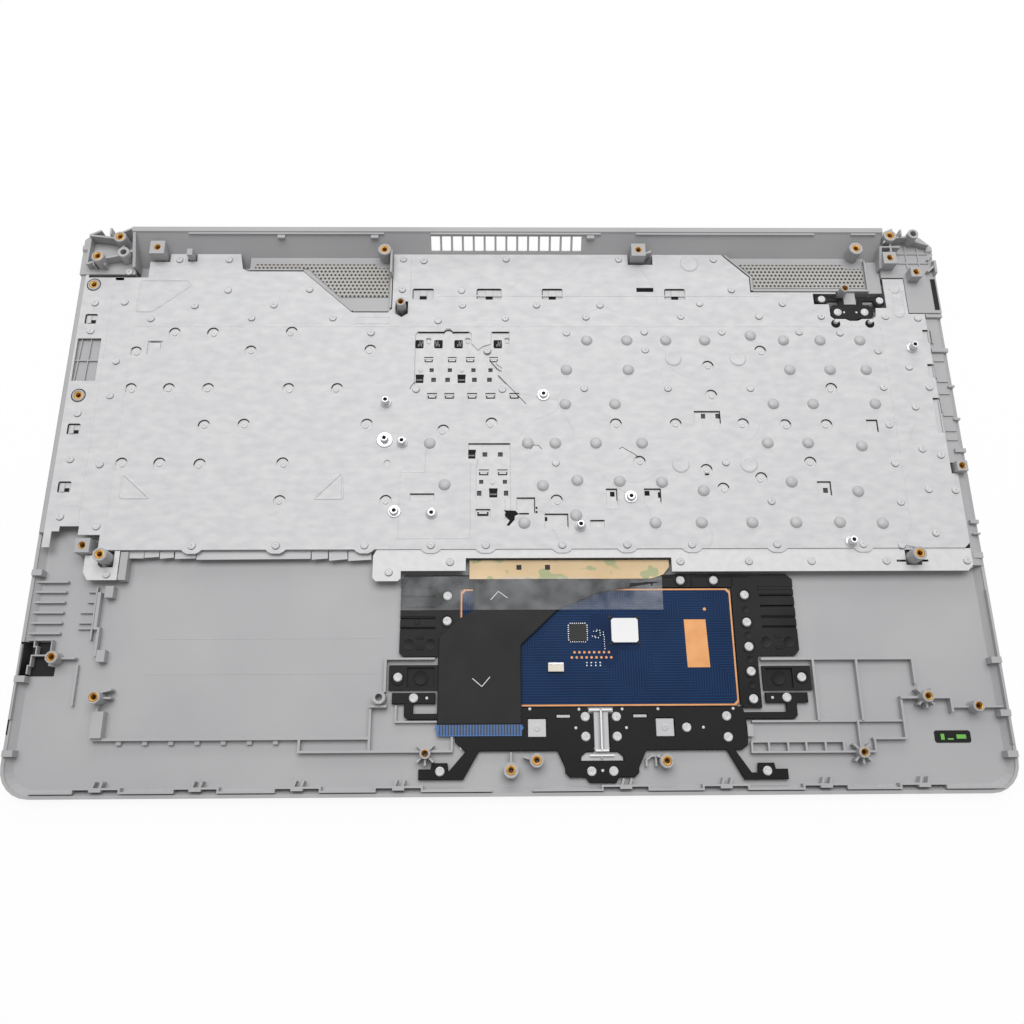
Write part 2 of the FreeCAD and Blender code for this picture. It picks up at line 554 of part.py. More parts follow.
def centre_rib():
    # The T-shaped post that shows through the middle of the button bracket.
    z = SKIN - 0.4
    m = BUTTON_SPLIT
    return [
        box(m - 1.3, m + 1.3, -113.4, -96.6, z, 3.2),
        box(m - 0.4, m + 0.4, -113.4, -96.6, z, 4.6),
        box(m - 4.5, m + 4.5, -97.5, -96.6, z, 4.2),
        box(m - 2.1, m + 2.1, -113.9, -113.1, z, 4.2),
        box(m - 5.0, m + 5.0, -115.8, -115.0, z, 3.4),
        box(m - 0.5, m + 0.5, -116.8, -115.6, z, 3.0),
    ]


def bracket_seats():
    # Low pads under the two spring brackets.
    z = SKIN - 0.4
    parts = []
    for x, y in ((-41.5, -92.1), (115.0, -92.5), (-30.2, -121.5), (104.0, -122.0), (BUTTON_SPLIT, -122.0)):
        parts.append(box(x - 2.0, x + 2.0, y - 2.0, y + 2.0, z, BUTTON_LOW))
    for x, y in ((150.5, 96.6), (178.6, 95.8)):
        parts.append(box(x - 1.6, x + 1.6, y - 1.6, y + 1.6, z, POWER_LOW))
    return parts


def foot(x, y):
    # Where a boss starts: on a corner's platform or on the floor.
    return CORNER_TOP - 1.0 if abs(x) > 182 and y > 107 else SKIN - 0.4


def top_case():
    # The whole moulding is one solid.
    parts = [key_deck(), rear_wall()]
    parts += side_walls()
    parts += rear_corners()
    parts += speaker_ridges()
    parts += front_walls()
    parts += key_frame_walls()
    parts += palm_ribs()
    parts += boss_stars()
    parts += hinge_walls()
    parts += centre_rib()
    parts += bracket_seats()
    pockets = [slab(LEFT_RECESS, -1.0, FIELD_TOP - 1.4), slab(RIGHT_RECESS, -1.0, FIELD_TOP - 1.4)]
    for x, y, r, top in FRONT_BOSSES + TALL_BOSSES + REAR_BOSSES + LOW_BOSSES + EMPTY_BOSSES:
        parts.append(slab(ngon(x, y, r), foot(x, y), top))
        pockets.append(slab(ngon(x, y, INSERT_OUT, 6), top - INSERT_DEEP, top + 1))
    for x, y, half, top in BLOCK_BOSSES:
        parts.append(slab(rect(x - half, x + half, y - half, y + half), foot(x, y), top))
        pockets.append(slab(ngon(x, y, INSERT_OUT, 6), top - INSERT_DEEP, top + 1))
    return joined(cover_shell(), parts).cut(pockets)


def brass_inserts():
    # Knurled inserts pressed into the bosses, drawn with plain six-sided outsides.
    parts = []
    for x, y, r, top in FRONT_BOSSES + TALL_BOSSES + REAR_BOSSES + LOW_BOSSES + BLOCK_BOSSES:
        sleeve = slab(ngon(x, y, INSERT_OUT, 6), top - INSERT_DEEP, top - 0.1)
        bore = cylinder(x, y, INSERT_BORE, top - INSERT_DEEP - 1, top + 1)
        if (x, y) in THREADED:
            parts.append(sleeve.cut(bore))
        else:
            hole = slab(ngon(x, y, INSERT_BORE, 6), top - INSERT_DEEP - 1, top + 1)
            parts.append(sleeve.cut(hole))
    return Part.makeCompound(parts)


# The inserts whose screws hold the base cover at its four corners
THREADED = [(-192.5, -74.8), (193.5, -96.7), (-60.5, 120.0), (168.0, 121.0)]


def key_set():
    # All key caps stand on one block, which holds their domes and scissors.
    block = slab(rect(KEYS_LEFT - 0.3, KEYS_RIGHT + 0.3, KEYS_FRONT - 0.3, KEYS_REAR + 0.3), SHEET_LOW, PLATE_LOW)
    caps = []
    for x, y, w, d in key_places():
        caps.append(box(x - w / 2, x + w / 2, y - d / 2, y + d / 2, CAP_LOW, SHEET_LOW))
    return joined(block, caps)


def hook_row(xs, y, w, d):
    return [rect(x - w / 2, x + w / 2, y - d / 2, y + d / 2) for x in xs]


def keyboard_base_plate():
    # The steel plate behind the keys, with its small hook windows.
    holes = []
    holes += hook_row((-43.0, -34.0, -24.5, -6.0), 72.2, 3.4, 4.4)
    holes += hook_row((-38.5, -27.5, -19.0, -8.0), 63.5, 3.8, 1.6)
    holes += hook_row((-37.0, -28.5, -17.5, -9.5), 58.6, 2.0, 2.0)
    holes += hook_row((-42.5, -23.0), 54.0, 3.6, 3.6)
    holes += hook_row((-36.0, -29.5, -17.0, -10.0), 53.6, 2.2, 2.2)
    holes += hook_row((-36.5, -28.5, -18.0, -9.5, 1.5), 44.8, 4.0, 1.8)
    holes += hook_row((-12.0, -5.0), 16.2, 2.2, 2.2)
    holes += hook_row((-18.0,), 16.2, 3.4, 3.4)
    holes += hook_row((-12.5, -4.0), 7.0, 4.2, 1.8)
    holes += hook_row((-13.6, -3.0), 3.0, 1.9, 1.9)
    holes += hook_row((-14.5, -2.5), -2.4, 2.0, 2.4)
    holes += hook_row((-8.2,), -2.4, 3.6, 3.4)
    holes += hook_row((-12.8,), -12.0, 5.0, 2.4)
    holes += hook_row((88.5, 95.2), 35.0, 2.0, 2.4)
    holes += hook_row((141.0,), -1.4, 2.2, 2.4)
    outline = rect(KEYS_LEFT - 2.0, KEYS_RIGHT + 2.0, KEYS_FRONT - 1.2, KEYS_REAR + 2.0)
    return slab(outline, PLATE_LOW, SHIELD_LOW, holes)


# Places on the shield, all read in the plane of its top
HEADS_FRONT_ROW = [-139.5, -103.0, -64.5, -35.5, -11.5, 22.0, 50.5, 79.0, 116.5, 154.5]
HEADS_LEFT = [(-184, 111), (-184, 94.5), (-198, 94), (-198, 79), (-184, 63), (-184.5, 45.5), (-198, 36.5),
              (-184.5, 11.5), (-198, 14), (-198.5, -13), (-182, -17.5), (-160.5, 118), (-136.5, 118),
              (-135.5, 101), (-150.5, 92.5), (-113, 93), (-170.5, 85.5), (-123, 86), (-84.5, 86), (-96.5, 101.5)]
HEADS_MIDDLE = [(-52, 118.5), (-42, 117.5), (-2, 118.5), (53, 118.5), (-52, 101.5), (-23.5, 101),
                (-23, 93), (12.5, 93), (43, 93), (36, 86.5), (-2.5, 86), (-34.5, 84.5), (-66, 78), (26.5, 78),
                (63.5, 78.5), (63.5, 69), (34, 49), (-44, 48.5), (-4, 48.5), (-11, 68.5), (20, 12)]
HEADS_RIGHT = [(99.5, 118.5), (107, 101.5), (91, 94), (131, 94), (81.5, 87), (119, 87), (149, 87), (180, 87),
               (195.5, 86), (100.5, 78.5), (137.5, 78.5), (157, 78), (174, 68.5), (73, 49), (111.5, 49),
               (174, 49.5), (195.5, 49.5), (187.5, 60), (187.5, 39.5), (187.5, 18.5), (187.5, -1),
               (187.5, -21.5), (174, 30.5), (174, 11.5), (174, -7), (116, -6.5), (97, 12), (195.5, 15.5),
               (199.5, -1.5), (171.5, -27)]
HEADS_STRIP = [(-27, -34), (-53.5, -38.5), (73.5, -34), (103.5, -34), (131, -34), (164, -34), (199.5, -34),
               (-175, -39.0)]
ROUND_WINDOWS = [(-158.5, 78), (-140.5, 78), (-103.5, 78.5), (-175.5, 68), (-122, 68.5), (-66, 69),
                 (-175.5, 49), (-158, 49), (-140, 49), (-103, 49), (-80.5, 49), (-140, 30.5), (-122, 31),
                 (-66, 31), (-175, 12), (-158, 12), (-140, 11.5), (-103, 12), (-103, -6), (-56, -6),
                 (118, 68.5), (149.5, 49), (92.5, 60.5), (93, 45.5), (-9, 31.5), (48, 31), (75.5, 31),
                 (106.5, 31), (126, 30.5), (145, 30.5), (135.5, 12), (20, -6), (-31, 28), (58, 12.5),
                 (88, 8.5), (112.5, 4.5), (95, -0.5)]


def shield_outline():
    # The shield's edge, walked from its left foot along the front with a scallop at each stake.
    rear = SHIELD_LOW + SLOPE_IN - 0.2
    points = [(-204.5, -27.0), (-201.2, -27.0), (-201.2, -19.8), (-198.0, -19.8),
              (-198.0, -17.5), (-189.6, -17.5), (-189.6, -21.5), (-180.0, -21.5), (-180.0, -28.4)]
    for x in HEADS_FRONT_ROW:
        points += [(x - 4.4, -28.4), (x - 2.6, -30.2), (x + 2.6, -30.2), (x + 4.4, -28.4)]
    # The right edge steps round three clip windows of the side ledge, and round the corner's platform.
    points += [(171.0, -28.4), (173.5, -27.2), (179.5, -28.4), (199.5, -28.4), (202.0, -26.0), (202.0, 6.5),
               (199.2, 6.5), (199.2, 26.5), (196.2, 26.5), (196.2, 44.0), (199.2, 44.0), (199.2, 54.5),
               (196.4, 54.5), (196.4, 61.5), (199.3, 61.5), (199.3, 73.0), (196.8, 73.0), (196.8, 79.7),
               (199.3, 79.7), (199.3, 88.4), (191.5, 88.4), (191.5, 107.6), (181.3, 107.6)]
    # The power button's opening follows its bracket, and runs into the right speaker's field.
    points += [(181.3, 91.6), (176.0, 91.6), (175.4, 87.0), (173.6, 85.6), (168.6, 85.6), (166.4, 84.6),
               (162.6, 84.6), (160.6, 85.6), (155.2, 85.6), (153.6, 87.2), (153.6, 93.6), (146.4, 93.6),
               (146.4, 99.4), (157.6, 99.4), (157.6, 100.2), (116.2, 100.2), (116.2, 108.4), (103.4, rear)]
    # The rear edge steps round the square boss, and then round the left speaker's field.
    points += [(69.6, rear), (69.6, 115.5), (57.5, 115.5), (57.5, rear), (-56.6, rear), (-56.6, 91.0),
               (-58.5, 89.0), (-75.5, 89.0), (-100.0, 111.5), (-127.0, 111.5), (-129.5, 113.0),
               (-131.0, rear), (-152.0, rear), (-152.0, 117.0), (-156.4, 117.0), (-156.4, rear),
               (-165.0, rear), (-165.0, 116.8), (-174.5, 116.8), (-174.5, 108.0), (-203.0, 108.0),
               (-203.0, 109.5), (-204.5, 109.5)]
    return points


def keyboard_shield():
    # One sheet of metal over the keyboard, cut for clips, bosses and key hooks.
    holes = [ngon(x, y, 2.9) for x, y in ROUND_WINDOWS]
    holes += [ngon(x, y, 3.5) for x, y, r, top in LOW_BOSSES]
    # Side strip: three clip windows with a tab, and the ribbed window.
    for y in (82.6, 26.0, -2.0):
        holes.append([(-201.6, y), (-195.8, y), (-195.8, y + 5.4), (-198.4, y + 5.4), (-198.4, y + 1.2),
                      (-200.0, y + 1.2), (-200.0, y + 5.4), (-201.6, y + 5.4)])
    holes.append(rect(-203.4, -192.5, 53.0, 75.0))
    # Rear strip: clip windows with a tongue that reaches in from the rear.
    for x0, x1 in ((-47.0, -36.8), (-16.2, -4.2), (15.2, 25.2), (74.4, 84.4)):
        m = (x0 + x1) / 2
        holes.append([(x0, 96.0), (x1, 96.0), (x1, 102.0), (m + 2.0, 102.0), (m + 2.0, 97.4), (m - 2.0, 97.4),
                      (m - 2.0, 102.0), (x0, 102.0)])
    holes.append(rect(61.0, 69.2, 100.3, 102.6))
    # The opening of the brass post.
    holes.append([(-55.0, 88.5), (-52.0, 86.5), (-49.0, 88.5), (-49.0, 95.0), (-55.0, 95.0)])
    # The two open fields where the key hooks of the base plate show.
    holes.append([(-45.0, 50.5), (-45.0, 77.0), (-44.0, 78.6), (-31.6, 78.6), (-30.6, 80.2), (-28.4, 80.2),
                  (-27.4, 78.6), (-19.5, 78.6), (-18.5, 77.5), (-18.5, 72.5), (-15.5, 69.0), (-13.0, 71.0),
                  (-9.5, 72.0), (-9.0, 78.6), (-0.6, 78.6), (-0.6, 71.0), (-7.0, 62.0), (-4.0, 59.5),
                  (-6.0, 55.5), (-2.0, 51.0), (-7.5, 51.0), (-40.0, 51.0)])
    holes.append(rect(-39.0, 4.0, 43.4, 46.2))
    holes.append([(-19.5, 14.0), (-19.5, 21.5), (-0.5, 21.5), (-0.5, 1.0), (-0.5, -15.0), (-3.0, -17.5),
                  (-3.0, -5.5), (-16.0, -5.5), (-16.0, 9.0), (-15.0, 14.0)])
    holes.append([(-16.0, -14.0), (-9.5, -14.0), (-9.5, -10.0), (-16.0, -10.0)])
    holes.append(rect(-45.3, -34.5, -6.0, -2.6))
    holes.append([(84.3, 30.0), (90.5, 30.0), (92.0, 28.6), (94.8, 28.6), (96.4, 31.0), (96.4, 37.4), (84.3, 37.4)])
    holes.append(rect(163.6, 168.8, 26.6, 33.0))
    holes.append(rect(137.4, 143.6, -4.2, 2.8))
    holes.append(rect(42.2, 47.2, -8.0, -0.5))
    holes.append(rect(59.2, 66.8, -8.0, -0.5))
    holes.append(rect(14.6, 25.0, -19.2, -12.2))
    holes.append(rect(34.6, 41.0, -18.6, -15.2))
    holes.append(rect(2.2, 10.4, -12.2, -4.6))
    holes.append([(-170.4, 66.5), (-169.6, 66.5), (-169.6, 72.8), (-164.4, 72.8), (-164.4, 69.5), (-163.4, 69.5),
                  (-163.4, 73.7), (-170.4, 73.7)])
    return slab(shield_outline(), SHIELD_LOW, SHIELD_TOP, holes)


def stake_heads():
    # The melted heads that hold the shield and the front strip down.
    places = HEADS_LEFT + HEADS_MIDDLE + HEADS_RIGHT
    places += [(x, -26.5) for x in HEADS_FRONT_ROW]
    parts = [slab(ngon(x, y, 1.8, 6), SHIELD_TOP, SHIELD_TOP + HEAD) for x, y in places]
    parts += [slab(ngon(x, y, 1.8, 6), SHIELD_LOW, SHIELD_LOW + HEAD) for x, y in HEADS_STRIP]
    return Part.makeCompound(parts)


STANDOFFS = [(-57.5, 41.5, 1.7, 11.5), (-57.5, 23.2, 2.6, 10.0), (-49.5, 21.8, 1.7, 10.5), (-52.0, -11.0, 2.6, 9.0),
             (-35.5, -12.0, 1.9, 9.0), (15.0, 45.6, 2.6, 9.0), (53.2, -4.4, 2.6, 9.0), (30.2, -18.0, 1.7, 11.0),
             (149.3, -25.5, 1.8, 11.0), (190.3, 70.0, 1.8, 11.0)]


def steel_standoffs():
    # Riveted nuts and posts on the shield, for the boards that sit over it.
    parts = []
    for x, y, r, top in STANDOFFS:
        parts.append(slab(ngon(x, y, r), SHIELD_TOP, top))
    return Part.makeCompound(parts)


def front_strip():
    # The metal strip along the rear edge of the palm area, notched for the touchpad's cable.
    outline = [(-60.5, -31.0), (-60.5, -41.0), (-59.0, -42.5), (-49.5, -42.5), (-48.3, -41.3), (-48.3, -38.0),
               (-20.2, -38.0), (-20.2, -32.3), (69.6, -32.3), (69.6, -38.6), (199.5, -38.6), (202.0, -36.0),
               (202.0, -28.5), (-59.0, -28.5)]
    slot = [(168.5, -33.6), (168.5, -34.6), (172.6, -34.6), (172.6, -36.0), (179.6, -36.0), (179.6, -34.6),
            (182.5, -34.6), (182.5, -33.6), (179.6, -33.6), (179.6, -29.0), (172.6, -29.0), (172.6, -33.6)]
    return slab(outline, PLATE_LOW, SHIELD_LOW, [slot])


def corner_plate():
    # The small plate at the left end of the keyboard's front edge.
    outline = [(-185.2, -38.0), (-185.2, -30.6), (-182.2, -30.6), (-182.2, -28.6), (-179.3, -28.6), (-179.3, -34.8),
               (-178.0, -36.0), (-172.6, -36.0), (-172.6, -28.6), (-170.4, -28.6), (-170.4, -41.6), (-183.0, -41.6)]
    return slab(outline, PLATE_LOW, SHIELD_LOW)


def touchpad_surface():
    # The polished sheet that the finger touches, seen only from outside.
    return slab(cut_corners(PAD_LEFT + 1.4, PAD_RIGHT - 1.4, PAD_FRONT + 1.4, PAD_REAR - 1.4, 1.2), 0.3, SKIN)


def touchpad_board():
    # The circuit board of the touchpad lies on a lip of the cover.
    return slab(cut_corners(PAD_LEFT, PAD_RIGHT, PAD_FRONT, PAD_REAR, 1.4), SKIN, SKIN + 1.0)


def touchpad_bracket():
    # The black frame round the board: left wing, top bar and right column.
    gap = 0.3
    outline = [
        (-46.5, -39.2), (120.0, -39.2), (122.5, -41.5), (122.5, -72.5), (120.5, -74.8), (105.2, -74.8),
        (104.4, -76.0), (104.4, -96.6), (97.0, -96.6), (PAD_RIGHT + gap, -95.0),
        (PAD_RIGHT + gap, PAD_REAR + gap), (PAD_LEFT - gap, PAD_REAR + gap), (PAD_LEFT - gap, -74.6),
        (-46.5, -74.6), (-48.2, -73.0), (-48.2, -41.0)]
    body = slab(outline, SKIN, BRACKET_TOP)
    grooves = []
    for y in (-45.5, -49.0, -53.6, -58.5, -62.8):
        grooves.append(box(107.4, 123.0, y - 0.5, y + 0.5, BRACKET_TOP - 0.9, BRACKET_TOP + 1))
        grooves.append(box(-49.0, -33.0, y - 0.5, y + 0.5, BRACKET_TOP - 0.9, BRACKET_TOP + 1))
    return body.cut(grooves)


def side_dampers():
    # Two rubber-faced blocks beside the board stop it from rattling.
    right = slab(rect(105.8, 126.3, -89.3, -79.2), SKIN, 3.2, [])
    left = slab(rect(-52.2, -31.6, -88.6, -78.2), SKIN, 3.2, [])
    wells = [box(107.0, 118.5, -88.4, -80.2, 2.2, 4), box(-44.6, -33.0, -87.6, -79.2, 2.2, 4)]
    return Part.makeCompound([right.cut(wells[0]), left.cut(wells[1])])


def button_bracket():
    # The springy frame of the click buttons: a long plate, four arms with pads and a tongue.
    # A slot in the middle lets the T-shaped post of the cover show.
    m = BUTTON_SPLIT
    body = [(-24.0, -98.0), (m - 2.1, -98.0), (m - 2.1, -112.0), (m - 3.3, -112.0), (m - 3.3, -114.4),
            (m - 7.1, -115.4), (m - 7.1, -117.8), (m + 7.1, -117.8), (m + 7.1, -115.4), (m + 3.3, -114.4),
            (m + 3.3, -112.0), (m + 2.3, -112.0), (m + 2.3, -98.0), (95.5, -98.0), (97.2, -99.7), (97.2, -111.5), (94.5, -113.6), (88.0, -113.6),
            (54.8, -113.6), (51.5, -120.5), (51.5, -122.4), (49.5, -124.2), (43.0, -124.2), (42.0, -126.3),
            (31.0, -126.3), (29.5, -124.2), (23.0, -124.2), (21.2, -122.4), (21.2, -120.5), (18.2, -113.6),
            (-20.0, -113.6), (-24.0, -110.0)]
    windows = [rect(6.0, 13.8, -108.2, -100.6), rect(59.2, 67.0, -108.2, -100.6),
               rect(18.0, 23.8, -100.4, -99.0), rect(50.0, 55.8, -100.4, -99.0)]
    plate = slab(body, BUTTON_LOW, BUTTON_TOP, windows)
    arms = [
        slab([(-50.6, -94.4), (-50.6, -89.8), (-32.4, -89.8), (-32.4, -94.4), (-41.6, -94.4), (-41.6, -98.4),
              (-23.5, -98.4), (-23.5, -100.8), (-44.0, -100.8), (-45.4, -99.4), (-45.4, -94.4)],
             BUTTON_LOW, BUTTON_TOP),
        slab([(106.0, -94.6), (106.0, -90.4), (124.0, -90.4), (124.0, -94.6), (119.0, -94.6), (119.0, -99.8),
              (117.6, -101.2), (97.0, -101.2), (97.0, -98.4), (114.4, -98.4), (114.4, -94.6)],
             BUTTON_LOW, BUTTON_TOP),
        slab([(-19.5, -113.4), (-26.5, -121.6), (-27.0, -118.2), (-33.4, -118.2), (-33.8, -120.6), (-38.8, -120.6),
              (-38.8, -124.8), (-20.5, -124.8), (-14.0, -113.4)], BUTTON_LOW, BUTTON_TOP),
        slab([(88.0, -113.4), (94.5, -125.4), (112.6, -125.4), (112.6, -121.2), (107.6, -121.2), (107.2, -118.8),
              (100.4, -118.8), (100.0, -122.6), (97.6, -122.6), (91.4, -113.4)], BUTTON_LOW, BUTTON_TOP),
    ]
    return joined(plate, arms)


def click_button(x0, x1):
    # A button's cap fills its window in the cover and stops against the bracket.
    cap = box(x0, x1, BUTTON_FRONT + 0.3, BUTTON_REAR - 0.3, 0.2, SKIN + 0.2)
    seat = box(x0 + 3, x1 - 3, BUTTON_FRONT + 2.5, BUTTON_REAR - 2.5, SKIN + 0.2, BUTTON_LOW)
    return joined(cap, [seat])


def power_button():
    # The power button's cap and its short stem.
    cap = slab(ngon(POWER_X, POWER_Y, POWER_R, 12), 0.2, SKIN + 0.4)
    stem = box(POWER_X - 3, POWER_X + 3, POWER_Y - 1.5, POWER_Y + 1.5, SKIN + 0.4, POWER_LOW)
    return joined(cap, [stem])


def power_bracket():
    # The black spring frame of the power button, with two ears and a waist.
    outline = [(147.2, 95.6), (149.0, 94.2), (152.0, 94.2), (153.8, 95.4), (158.4, 95.4), (158.4, 93.6),
               (155.8, 93.6), (154.2, 91.6), (154.2, 87.8), (155.8, 86.2), (161.0, 86.2), (163.0, 85.2),
               (166.0, 85.2), (168.0, 86.2), (173.0, 86.2), (174.8, 87.8), (174.8, 90.6), (173.0, 93.6),
               (170.2, 93.6), (170.2, 95.4), (175.2, 95.4), (176.2, 93.0), (178.6, 92.2), (180.8, 94.0),
               (180.8, 98.0), (179.0, 99.0), (176.0, 97.8), (168.0, 97.8), (167.4, 93.6), (161.0, 93.6),
               (160.4, 97.4), (153.8, 97.4), (152.0, 99.0), (149.0, 99.0), (147.2, 97.6)]
    return slab(outline, POWER_LOW, POWER_TOP)


def ribbon_cable():
    # The touchpad's flat cable widens over the board and runs down to its plug end.
    outline = [(-17.0, -42.6), (64.5, -42.6), (38.0, -47.0), (20.0, -54.4), (3.6, -70.0), (3.6, -103.0),
               (-31.6, -103.0), (-31.6, -66.6), (-23.0, -58.6), (-17.0, -55.0)]
    return slab(outline, BUTTON_TOP, BUTTON_TOP + 0.3)


def ribbon_contact_end():
    outline = [(-31.6, -103.0), (3.6, -103.0), (4.4, -104.4), (3.6, -105.4), (3.6, -107.6), (-31.6, -107.6),
               (-31.6, -105.4), (-32.4, -104.4)]
    return slab(outline, BUTTON_TOP, BUTTON_TOP + 0.3)


def clear_tape():
    # One strip of clear tape holds the cable's wide end.
    outline = [(-48.2, -54.8), (65.4, -54.8), (65.4, -40.0), (-48.2, -40.0)]
    return slab(outline, BUTTON_TOP + 0.3, BUTTON_TOP + 0.4)


def adhesive_liner():
    # The paper liner over the cable's sticky patch, in the notch of the metal strip.
    outline = [(-18.6, -32.8), (68.8, -32.8), (68.8, -36.0), (66.0, -39.4), (60.6, -41.2), (-18.6, -41.2)]
    return slab(outline, BUTTON_TOP + 0.4, BUTTON_TOP + 0.6)


def foam_pad():
    return slab(cut_corners(42.4, 53.8, -69.0, -58.6, 0.8), SKIN + 1.0, SKIN + 2.6)


def controller_chip():
    return box(24.3, 31.8, -68.2, -60.8, SKIN + 1.0, SKIN + 1.9)


def board_connector():
    return box(15.0, 21.6, -81.2, -77.6, SKIN + 1.0, SKIN + 2.2)


def insulator_film():
    # Black film over the left speaker's cable corner.
    left = -HALF_W + RIM_WALL + (RIM_SLOPE + 0.1) / SPREAD_X
    outline = [(left, -81.9), (-193.2, -81.9), (-193.2, -78.2), (-196.4, -77.6), (-196.4, -67.8),
               (left, -67.8)]
    return slab(outline, SKIN, SKIN + 0.3)


def left_edge_film():
    return box(-HALF_W + 0.1, -HALF_W + 0.6, -106.0, -84.9, RIM_TOP, RIM_TOP + 0.3)


def right_edge_film():
    return box(HALF_W - 3.0, HALF_W - 0.8, 90.6, 107.4, CORNER_TOP, CORNER_TOP + 0.3)


def code_label():
    return slab(cut_corners(175.8, 191.0, -111.2, -106.2, 0.7), SKIN, SKIN + 0.2)


def speaker_mesh(points):
    # Fine dust mesh laid on the field behind the speaker holes.
    return slab(points, FIELD_TOP, FIELD_TOP + 0.3)


LEFT_MESH = [(-124.0, 113.6), (-124.0, 116.2), (-65.0, 116.2), (-65.0, 114.0), (-58.6, 114.0), (-58.6, 98.0),
             (-82.0, 98.0), (-98.0, 113.6)]
RIGHT_MESH = [(112.0, 116.2), (163.5, 116.2), (163.5, 114.0), (172.6, 114.0), (172.6, 103.2), (118.4, 103.2),
              (118.4, 109.8)]


def build_all():
    os.makedirs("parts", exist_ok=True)
    save("top_case", top_case())
    save("brass_inserts", brass_inserts())
    save("key_set", key_set())
    save("keyboard_base_plate", keyboard_base_plate())
    save("keyboard_shield", keyboard_shield())
    save("stake_heads", stake_heads())
    save("steel_standoffs", steel_standoffs())
    save("front_strip", front_strip())
    save("corner_plate", corner_plate())
    save("touchpad_surface", touchpad_surface())
    save("touchpad_board", touchpad_board())
    save("touchpad_bracket", touchpad_bracket())
    save("side_dampers", side_dampers())
    save("button_bracket", button_bracket())
    save("left_click_button", click_button(PAD_LEFT + 0.8, BUTTON_SPLIT - BUTTON_BAR / 2 - 0.3))
    save("right_click_button", click_button(BUTTON_SPLIT + BUTTON_BAR / 2 + 0.3, PAD_RIGHT + 0.7))
    save("power_button", power_button())
    save("power_bracket", power_bracket())
    save("ribbon_cable", ribbon_cable())
    save("ribbon_contact_end", ribbon_contact_end())
    save("clear_tape", clear_tape())
    save("adhesive_liner", adhesive_liner())
    save("foam_pad", foam_pad())
    save("controller_chip", controller_chip())
    save("board_connector", board_connector())
    save("insulator_film", insulator_film())
    save("left_edge_film", left_edge_film())
    save("right_edge_film", right_edge_film())
    save("code_label", code_label())
    save("left_speaker_mesh", speaker_mesh(LEFT_MESH))
    save("right_speaker_mesh", speaker_mesh(RIGHT_MESH))


build_all()
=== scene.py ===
import math

import bmesh
import bpy
from mathutils import Matrix, Vector, noise


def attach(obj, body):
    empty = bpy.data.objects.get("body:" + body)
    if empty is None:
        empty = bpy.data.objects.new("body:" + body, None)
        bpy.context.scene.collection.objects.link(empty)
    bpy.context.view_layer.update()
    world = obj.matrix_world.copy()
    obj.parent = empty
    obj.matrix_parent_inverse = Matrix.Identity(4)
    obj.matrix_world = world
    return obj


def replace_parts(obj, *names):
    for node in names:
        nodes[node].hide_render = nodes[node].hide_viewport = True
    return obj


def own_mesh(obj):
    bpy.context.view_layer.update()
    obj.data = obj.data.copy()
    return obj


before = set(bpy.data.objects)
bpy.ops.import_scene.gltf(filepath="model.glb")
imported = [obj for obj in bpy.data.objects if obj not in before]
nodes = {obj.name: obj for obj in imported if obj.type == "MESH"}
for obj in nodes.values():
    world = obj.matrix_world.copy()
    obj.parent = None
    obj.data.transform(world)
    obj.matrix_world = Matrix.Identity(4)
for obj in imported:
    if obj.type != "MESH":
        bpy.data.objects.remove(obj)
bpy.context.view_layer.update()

# The cover is one injection moulding in silver-grey plastic with a fine spark
# grain. Walls, ribs and bosses stand up from its floor, as in the CAD node.
MM = Matrix.Scale(0.001, 4)


def paint(r, g, b):
    # A colour as it is seen on a screen, turned into the shader's light values.
    def lin(v):
        v = v / 255
        return v / 12.92 if v <= 0.04045 else ((v + 0.055) / 1.055) ** 2.4
    return (lin(r), lin(g), lin(b), 1.0)


def new_group(name, inputs, outputs):
    # An empty shader group with named sockets: (name, kind, default) each.
    group = bpy.data.node_groups.new(name, "ShaderNodeTree")
    for label, kind, value in inputs:
        socket = group.interface.new_socket(name=label, in_out="INPUT", socket_type=kind)
        if value is not None:
            socket.default_value = value
    for label, kind in outputs:
        group.interface.new_socket(name=label, in_out="OUTPUT", socket_type=kind)
    return group, group.nodes.new("NodeGroupInput"), group.nodes.new("NodeGroupOutput")


def grain_group():
    # Fine grain for the bump, and slow clouds for the colour and the gloss.
    group, entry, result = new_group(
        "grain_and_clouds",
        [("Vector", "NodeSocketVector", None), ("Grain Scale", "NodeSocketFloat", 2500.0),
         ("Cloud Scale", "NodeSocketFloat", 25.0), ("Stretch", "NodeSocketVector", (1.0, 1.0, 1.0))],
        [("Grain", "NodeSocketFloat"), ("Clouds", "NodeSocketFloat")])
    stretch = group.nodes.new("ShaderNodeVectorMath")
    stretch.operation = "MULTIPLY"
    group.links.new(entry.outputs["Vector"], stretch.inputs[0])
    group.links.new(entry.outputs["Stretch"], stretch.inputs[1])
    for scale, detail, label in (("Grain Scale", 3.0, "Grain"), ("Cloud Scale", 6.0, "Clouds")):
        cloud = group.nodes.new("ShaderNodeTexNoise")
        cloud.inputs["Detail"].default_value = detail
        group.links.new(stretch.outputs[0], cloud.inputs["Vector"])
        group.links.new(entry.outputs[scale], cloud.inputs["Scale"])
        group.links.new(cloud.outputs["Fac"], result.inputs[label])
    return group


GRAIN = grain_group()


